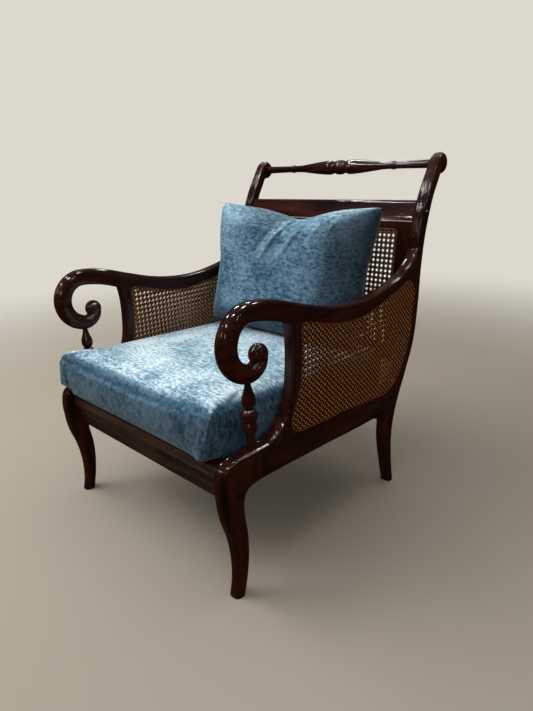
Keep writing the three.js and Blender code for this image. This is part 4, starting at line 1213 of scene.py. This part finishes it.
def evenly(outline: np.ndarray, step: float) -> np.ndarray:
    """Even points along a closed outline, about step apart."""
    closed = np.vstack([outline, outline[:1]])
    run = np.concatenate([[0], np.cumsum(np.linalg.norm(np.diff(closed, axis=0), axis=1))])
    at = np.linspace(0, run[-1], int(run[-1] / step), endpoint=False)
    return np.stack([np.interp(at, run, closed[:, i]) for i in (0, 1)], -1)


# Cushions


def cube_grid(cells: tuple[int, int, int]) -> tuple[np.ndarray, np.ndarray]:
    """The surface of a cube from -1 to 1, as six grids joined at their edges.

    Args:
        cells: Cells along each axis.

    Returns:
        Points and quads.
    """
    sheets, quads, start = [], [], 0
    for axis in range(3):
        i, j = [a for a in range(3) if a != axis]
        for sign in (-1, 1):
            u, v = np.meshgrid(np.linspace(-1, 1, cells[i] + 1), np.linspace(-1, 1, cells[j] + 1),
                               indexing="ij")
            cube = np.zeros(u.shape + (3,))
            cube[..., i], cube[..., j], cube[..., axis] = u, v, sign
            sheets.append(cube.reshape(-1, 3))
            r = np.arange(cells[i])[:, None] * (cells[j] + 1)
            c = np.arange(cells[j])[None, :]
            a = start + r + c
            face = np.stack([a, a + 1, a + cells[j] + 2, a + cells[j] + 1], -1).reshape(-1, 4)
            flip = (sign > 0) == (axis != 1)
            quads.append(face[:, ::-1] if flip else face)
            start += u.size
    unit = np.vstack(sheets)
    keys, inverse = np.unique(np.round(unit, 6), axis=0, return_inverse=True)
    return keys, inverse.ravel()[np.vstack(quads)]


def bell(distance: np.ndarray, reach: float) -> np.ndarray:
    """exp(-(distance / reach)^2)."""
    return np.exp(-(distance / reach) ** 2)


@dataclass(frozen=True)
class Padding:
    """How a cushion is filled: voxel size of its skin, air pressure and the farthest swelling."""

    voxel: float = 6.0
    pressure: float = 4.0
    cap: float = 22.0
    frames: int = 20

    def fill(self, name: str, points: np.ndarray,
             quads: np.ndarray) -> tuple[np.ndarray, np.ndarray, np.ndarray]:
        """Remeshes a closed cover and blows it up as cloth.

        Args:
            name: Name for the passing objects.
            points: The cover's points, in millimetres.
            quads: The cover's faces.

        Returns:
            Points before and after the swelling, and the faces of the new skin.
        """
        cover = add_mesh(name, points, quads, crease=180.0)
        remesh = cover.modifiers.new("skin", "REMESH")
        remesh.mode, remesh.voxel_size = "VOXEL", self.voxel * MM
        graph = bpy.context.evaluated_depsgraph_get()
        skin = bpy.data.meshes.new_from_object(cover.evaluated_get(graph))
        bpy.data.objects.remove(cover)
        body = bpy.data.objects.new(name, skin)
        bpy.context.scene.collection.objects.link(body)
        rest = mesh_points(skin)
        swollen = self.blow(body, rest)
        loops = np.zeros(len(skin.loops), int)
        skin.loops.foreach_get("vertex_index", loops)
        bpy.data.objects.remove(body)
        return rest, swollen, loops.reshape(-1, 4)

    def blow(self, body: bpy.types.Object, rest: np.ndarray) -> np.ndarray:
        """Runs the cloth and returns its points, none farther than the cap from where it was."""
        cloth = body.modifiers.new("cloth", "CLOTH")
        settings = cloth.settings
        settings.quality, settings.mass = 5, 0.25
        settings.tension_stiffness = settings.compression_stiffness = 18.0
        settings.shear_stiffness, settings.bending_stiffness = 8.0, 0.6
        settings.use_pressure, settings.uniform_pressure_force = True, self.pressure
        settings.effector_weights.gravity = 0.0
        scene = bpy.context.scene
        for step in range(1, self.frames + 1):
            scene.frame_set(step)
        graph = bpy.context.evaluated_depsgraph_get()
        moved = mesh_points(body.evaluated_get(graph).data)
        scene.frame_set(1)
        shift = moved - rest
        far = np.linalg.norm(shift, axis=1)[:, None]
        return rest + shift * np.minimum(1.0, self.cap / np.maximum(far, 1e-6))


def mesh_points(mesh: bpy.types.Mesh) -> np.ndarray:
    """A mesh's points in design millimetres."""
    co = np.zeros(len(mesh.vertices) * 3, np.float32)
    mesh.vertices.foreach_get("co", co)
    return co.reshape(-1, 3).astype(float) / MM - np.array([0.0, CENTRE_SHIFT, 0.0])


def outward(points: np.ndarray, quads: np.ndarray) -> np.ndarray:
    """Unit normals at the points, from the cross products of the diagonals of their faces."""
    normal = np.cross(points[quads[:, 2]] - points[quads[:, 0]],
                      points[quads[:, 3]] - points[quads[:, 1]])
    total = np.zeros_like(points)
    for corner in range(4):
        np.add.at(total, quads[:, corner], normal)
    return total / np.maximum(np.linalg.norm(total, axis=1)[:, None], 1e-9)


def soften(piece: bpy.types.Object, levels: int = 1) -> None:
    """Adds levels of subdivision, the same in view and in render."""
    smooth = piece.modifiers.new("smooth", "SUBSURF")
    smooth.levels = smooth.render_levels = levels


@dataclass(frozen=True)
class SeatCushion:
    """The loose box cushion: crowned top, upright border, seams along its edges."""

    half: tuple[float, float, float] = (284.0, 299.0, 60.0)
    edges: tuple[float, float] = (7.0, 28.0)
    middle: tuple[float, float, float] = (-4.0, 286.0, 338.0)
    slope: float = 3.0

    def form(self, unit: np.ndarray) -> np.ndarray:
        """The cover about the origin, from points (u, v, w) of a cube.

        The block is a cube point times its half size. Near the upper and lower edge the skin
        follows a quarter circle of radius e, wide at the top and narrow at the foot: for the angle
        t from upright it lies e (1 - sin t) in from the border and e (1 - cos t) in from the face.
        The top rises by c (1 - u^4)(1 - v^4). The far front corner bulges out over the knee of the
        leg, the near front corner draws in towards its foot, and a few broad waves keep the faces
        from being flat.
        """
        size = np.array(self.half)
        bend = np.where(unit[:, 2] >= 0, self.edges[1], self.edges[0])
        quarter = bend * math.pi / 4
        inward = size * (1 - np.abs(unit))
        face = inward[:, 2] < 1e-3
        run = np.minimum(inward[:, 0], inward[:, 1])
        run = np.where(face & (run > 1e-3), run, 0.0)
        tilt = np.where(run > 0, 1 - np.clip(run / quarter, 0, 1),
                        1 + np.clip(inward[:, 2] / quarter, 0, 1))
        tilt *= math.pi / 4
        drop = bend * (1 - np.cos(tilt))
        drop += np.maximum(inward[:, 2] - quarter, 0) * (size[2] - bend) / (size[2] - quarter)
        flat = [np.where(d < quarter,
                         bend * (1 - np.sin(math.pi / 4 * (1 - np.minimum(d / quarter, 1)))),
                         bend + (d - quarter) * (s - bend) / (s - quarter))
                for d, s in ((inward[:, 0], size[0]), (inward[:, 1], size[1]))]
        rim = bend * (1 - np.sin(tilt))
        p = np.sign(unit) * (size - np.column_stack([*flat, drop]))
        border = run <= 0
        p[border, :2] = unit[border, :2] * (size[None, :2] - rim[border, None])
        u, v, w = (p / size).T
        front = bell(p[:, 1] + size[1], 55.0)
        p[:, 2] += np.maximum(w, 0) * (9.0 * (1 - u**4) * (1 - v**4)
                                       - 5.0 * front * (1 - np.abs(u)))
        knee = np.clip((w + 0.72) / 0.22, 0, 1)
        far = (u < -0.5) * np.abs(u) ** 6 * front
        p[:, 0] -= 25.0 * far * knee * (1.2 - 0.3 * w)
        p[:, 1] -= 9.0 * far * knee
        p[:, 2] += 8.0 * far * np.clip(w + 0.4, 0, 1)
        shrink = self.taper(p)
        p[:, 0] -= shrink
        p[:, 1] -= 0.42 * shrink * front
        p[:, 1] -= 4.0 * (v < -0.5) * np.abs(v) ** 8 * (1 - w**2)
        wave = np.sin(p[:, 0] / 71.0 + 0.6) * np.sin(p[:, 1] / 83.0 + 1.1)
        p[:, 2] += 1.8 * wave * np.maximum(w, 0)
        p[:, 1] += 1.4 * np.sin(p[:, 0] / 43.0 + 2.0) * (v < -0.9) * (1 - w**2)
        return p

    def taper(self, points: np.ndarray) -> np.ndarray:
        """How far the near side draws in towards its foot: ((1 - w) / 2)^1.5 u^6 (a + b front)."""
        u, _, w = (points / np.array(self.half)).T
        front = bell(points[:, 1] + self.half[1], 42.0)
        return (u > 0.5) * u**6 * (np.clip(1 - w, 0, 2) / 2) ** 1.5 * (3.0 + 30.0 * front)

    def seams(self, rest: np.ndarray) -> np.ndarray:
        """How deep each point is drawn in by the seams, in millimetres.

        One seam runs round the border below the wide edge of the top and one round its foot. An
        upright seam closes the border at each corner and stands out as a ridge between two furrows.
        """
        upright = rest + np.outer(self.taper(rest) * 1.5, (1, 0, 0))
        near = np.maximum(np.array(self.half) - np.abs(upright), 0)
        side = np.minimum(near[:, 0], near[:, 1])
        border = np.array([self.half[2] - self.edges[1] + 2.0, self.edges[0] / 2 - self.half[2]])
        level = bell(rest[:, 2:] - border[None, :], 2.6).max(axis=1) * (side < 12.0)
        off = np.abs(near[:, 0] - near[:, 1]) / math.sqrt(2)
        corner = (bell(off - 6.0, 2.8) - 1.2 * bell(off, 2.6)) * (side < 12.0)
        return np.where((rest[:, 2] < border[0]) & (off < 12), 1.8 * corner, 0.6 * level)

    def build(self) -> None:
        """Fills the cover, sews the seams and lays the cushion on the seat."""
        unit, quads = cube_grid((60, 64, 24))
        padding = Padding(voxel=5.0, cap=3.5, pressure=1.6)
        rest, swollen, faces = padding.fill("seat_cover", self.form(unit), quads)
        sewn = swollen - outward(swollen, faces) * self.seams(rest)[:, None]
        slope = math.radians(self.slope)
        turn = np.array([[1, 0, 0], [0, math.cos(slope), math.sin(slope)],
                         [0, -math.sin(slope), math.cos(slope)]])
        piece = add_mesh("seat_cushion_boxed", sewn @ turn.T + np.array(self.middle), faces,
                         crease=180.0)
        soften(piece)
        dress(piece, SEAT_VELVET.material(), ("seat_cushion",), "seat_cushion")


@dataclass(frozen=True)
class BackCushion:
    """The loose scatter cushion: two swelling faces sewn together, leaning on the back."""

    foot: tuple[float, float, float] = (0.0, 484.5, 397.2)
    half_width: float = 268.7
    height: float = 363.0
    front_swell: float = 80.0
    rear_swell: float = 100.0
    lean: float = 15.5

    def form(self, unit: np.ndarray) -> np.ndarray:
        """The cover in place, from points (a, b, c) of a cube.

        a runs across, b up and c from the front face to the rear face. Each face swells by
        sqrt((1 - a^4)(1 - b^4)). The edges draw in between the corners, and the top edge sags.
        """
        a, b, c = unit.T
        raised = (b + 1) / 2
        draw = 17.0 * (1 - b**2) + 5.0 * np.abs(b) * (1 - np.abs(a))
        draw += np.clip(a, 0, 1) ** 2 * (11.0 * (1 - b**2) + 6.0 * (1 - raised))
        sag = np.maximum(b, 0) ** 2 * (24.0 * bell(a - 0.1, 0.34) + 9.0 * (1 - a**2))
        across = a * (self.half_width - draw) + 5.0 - raised * 14.0
        up = raised * (self.height - a * 5.0) - sag
        swell = np.sqrt(np.clip((1 - a**4) * (1 - b**4), 0, 1))
        swell *= 1 - 0.25 * np.maximum(b, 0) * bell(a - 0.1, 0.35)
        depth = c * (3.0 + np.where(c > 0, self.rear_swell, self.front_swell) * swell)
        turn = a * raised * 27.0
        lean = math.radians(self.lean)
        y = up * math.sin(lean) + depth * math.cos(lean) + turn
        z = up * math.cos(lean) - raised * depth * math.sin(lean)
        ear = np.clip(-a, 0, 1) ** 10 * bell(b + 1, 0.22)
        return np.column_stack([across - 12.0 * ear, y - 6.0 * ear, z]) + np.array(self.foot)

    def creases(self, points: np.ndarray) -> np.ndarray:
        """Height of the folds that run down from the sag, as bells about slanted lines."""
        x = points[:, 0] - self.foot[0]
        z = points[:, 2] - self.foot[2]
        total = np.zeros(len(points))
        for x0, z0, x1, z1, reach, high in (
                (24, 322, -42, 200, 7, 6.0), (4, 322, -66, 225, 8, -2.4),
                (86, 314, 22, 212, 7, 5.2), (64, 318, 2, 222, 8, -2.4),
                (140, 322, 112, 262, 6, 2.2), (176, 326, 158, 276, 6, 2.0),
                (255, 330, 190, 250, 12, 2.2), (-262, 40, -190, 90, 14, 3.0),
                (238, 60, 170, 120, 16, -2.5)):
            length = math.hypot(x1 - x0, z1 - z0)
            dx, dz = (x1 - x0) / length, (z1 - z0) / length
            along = (x - x0) * dx + (z - z0) * dz
            off = (x - x0) * dz - (z - z0) * dx
            fade = np.clip(1 - np.abs(along / length - 0.5) * 1.7, 0, 1)
            total += high * bell(off, reach) * fade * (points[:, 1] < self.foot[1] + 60)
        return total

    def build(self) -> None:
        """Fills the cover, folds it and stands it on the seat cushion."""
        unit, quads = cube_grid((70, 54, 2))
        padding = Padding(cap=7.0, pressure=2.5)
        _, swollen, faces = padding.fill("back_cover", self.form(unit), quads)
        folded = swollen + outward(swollen, faces) * self.creases(swollen)[:, None]
        piece = add_mesh("back_cushion_plump", folded, faces, crease=180.0)
        soften(piece)
        dress(piece, BACK_VELVET.material(), ("back_cushion",), "back_cushion")


# Floor, light and camera


@dataclass(frozen=True)
class Studio:
    """Plain pale floor, soft lamps and the camera that matches the photograph."""

    ground: str = "#a89f91"
    backdrop: str = "#dcd8cd"
    camera_at: tuple[float, float, float] = (0.99436, -0.96951, 0.83886)
    yaw: float = 44.39
    pitch: float = 19.13
    roll: float = -2.31
    focal_px: float = 532.4
    image_height_px: float = 711.0
    sensor_mm: float = 36.0

    def floor(self) -> None:
        """A large pale floor that fades into the even background.

        Glossy rays see a dim floor instead, which keeps the dark polish from turning grey.
        """
        size = 30.0
        mesh = bpy.data.meshes.new("floor")
        mesh.from_pydata([(-size, -size, 0), (size, -size, 0), (size, size, 0), (-size, size, 0)],
                         [], [(0, 1, 2, 3)])
        floor = bpy.data.objects.new("floor", mesh)
        bpy.context.scene.collection.objects.link(floor)
        material, tree, shader = new_material("pale_floor")
        shader.inputs["Base Color"].default_value = linear(self.ground)
        shader.inputs["Roughness"].default_value = 0.85
        shader.inputs["Specular IOR Level"].default_value = 0.1
        coords = add_node(tree, "TexCoord")
        away = add_node(tree, "VectorMath", {"operation": "LENGTH"}, {0: coords.outputs["Object"]})
        far = add_node(tree, "MapRange", {"interpolation_type": "SMOOTHSTEP"}, {
            "Value": away.outputs["Value"], "From Min": 1.1, "From Max": 3.4})
        path = add_node(tree, "LightPath")
        seen = add_node(tree, "Math", {"operation": "MULTIPLY"}, {
            0: path.outputs["Is Camera Ray"], 1: far.outputs["Result"]})
        glow = add_node(tree, "Emission", inputs={"Color": linear(self.backdrop), "Strength": 1.0})
        dim = add_node(tree, "Emission", inputs={"Color": linear(self.ground), "Strength": 0.08})
        mirrored = add_node(tree, "MixShader", inputs={
            0: path.outputs["Is Glossy Ray"], 1: shader.outputs["BSDF"], 2: dim.outputs[0]})
        mix = add_node(tree, "MixShader", inputs={
            0: seen.outputs[0], 1: mirrored.outputs[0], 2: glow.outputs[0]})
        output = next(n for n in tree.nodes if n.type == "OUTPUT_MATERIAL")
        tree.links.new(mix.outputs[0], output.inputs["Surface"])
        mesh.materials.append(material)

    def lamp(self, name: str, at: tuple[float, float, float], size: tuple[float, float],
             power: float, mirrored: bool) -> None:
        """A flat lamp that points at the chair's middle.

        Soft lamps light the scene and leave no image in polish. Glint lamps do the opposite.

        Args:
            name: Its name.
            at: Its place, in metres.
            size: Its two sides, in metres.
            power: Its power, in watts.
            mirrored: Whether it is a glint lamp.
        """
        data = bpy.data.lights.new(name, "AREA")
        data.shape, data.size, data.size_y, data.energy = "RECTANGLE", size[0], size[1], power
        lamp = bpy.data.objects.new(name, data)
        lamp.location = at
        aim = Vector((0, 0, 0.4)) - Vector(at)
        lamp.rotation_euler = aim.to_track_quat("-Z", "Y").to_euler()
        lamp.visible_glossy, lamp.visible_diffuse = mirrored, not mirrored
        bpy.context.scene.collection.objects.link(lamp)

    def world(self) -> None:
        """An even pale surround that also is the background.

        Glossy rays see a dim surround instead, which keeps the dark polish from turning grey.
        """
        world = bpy.data.worlds.new("surround")
        bpy.context.scene.world = world
        world.use_nodes = True
        tree = world.node_tree
        tree.nodes.clear()
        path = add_node(tree, "LightPath")
        seen, light, dim = (
            add_node(tree, "Background", inputs={"Color": linear(self.backdrop), "Strength": power})
            for power in (1.0, 0.3, 0.05))
        lit = add_node(tree, "MixShader", inputs={
            0: path.outputs["Is Glossy Ray"], 1: light.outputs[0], 2: dim.outputs[0]})
        mix = add_node(tree, "MixShader", inputs={
            0: path.outputs["Is Camera Ray"], 1: lit.outputs[0], 2: seen.outputs[0]})
        add_node(tree, "OutputWorld", inputs={"Surface": mix.outputs[0]})

    def camera(self) -> None:
        """The camera, from its place, three angles and focal length in pixels of the photograph."""
        yaw, pitch, roll = (math.radians(a) for a in (self.yaw, self.pitch, self.roll))
        ahead = Vector((-math.sin(yaw) * math.cos(pitch), math.cos(yaw) * math.cos(pitch),
                        -math.sin(pitch)))
        right = Vector((math.cos(yaw), math.sin(yaw), 0))
        up = right.cross(ahead)
        x_axis = right * math.cos(roll) + up * math.sin(roll)
        y_axis = up * math.cos(roll) - right * math.sin(roll)
        data = bpy.data.cameras.new("camera")
        data.sensor_width = self.sensor_mm
        data.lens = self.focal_px / self.image_height_px * self.sensor_mm
        camera = bpy.data.objects.new("camera", data)
        turn = Matrix((x_axis, y_axis, -ahead)).transposed().to_4x4()
        camera.matrix_world = Matrix.Translation(Vector(self.camera_at)) @ turn
        bpy.context.scene.collection.objects.link(camera)
        bpy.context.scene.camera = camera

    def build(self) -> None:
        """Builds the stage."""
        self.floor()
        self.world()
        self.lamp("window", (-2.2, -1.4, 2.6), (2.6, 2.6), 88.0, mirrored=False)
        self.lamp("ceiling", (-0.1, -0.2, 2.6), (2.4, 3.6), 40.0, mirrored=False)
        self.lamp("wall_bounce", (2.6, -2.0, 1.6), (1.8, 1.8), 17.0, mirrored=False)
        for k, x in enumerate((-1.0, 0.75)):
            for j, y in enumerate((-1.9, -0.8, 0.3, 1.4)):
                self.lamp(f"ceiling_{k}_{j}", (x, y, 2.4), (0.34, 0.06), 22.0, mirrored=True)
        slits = ((-1.7, -2.3, 1.7), (0.2, -3.0, 1.9), (2.3, -2.4, 1.7), (2.9, 0.3, 2.0))
        for k, at in enumerate(slits):
            self.lamp(f"window_slit_{k}", at, (0.06, 0.6), 9.0, mirrored=True)
        self.camera()
        bpy.context.scene.view_settings.view_transform = "Standard"


def main() -> None:
    """Builds the chair piece by piece."""
    logging.basicConfig(level=logging.INFO, format="%(message)s")
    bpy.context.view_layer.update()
    Studio().build()
    for side in Side:
        SideFrame(side).build()
    CrossBoards().build()
    SeatCushion().build()
    BackCushion().build()


if __name__ == "__main__":
    main()
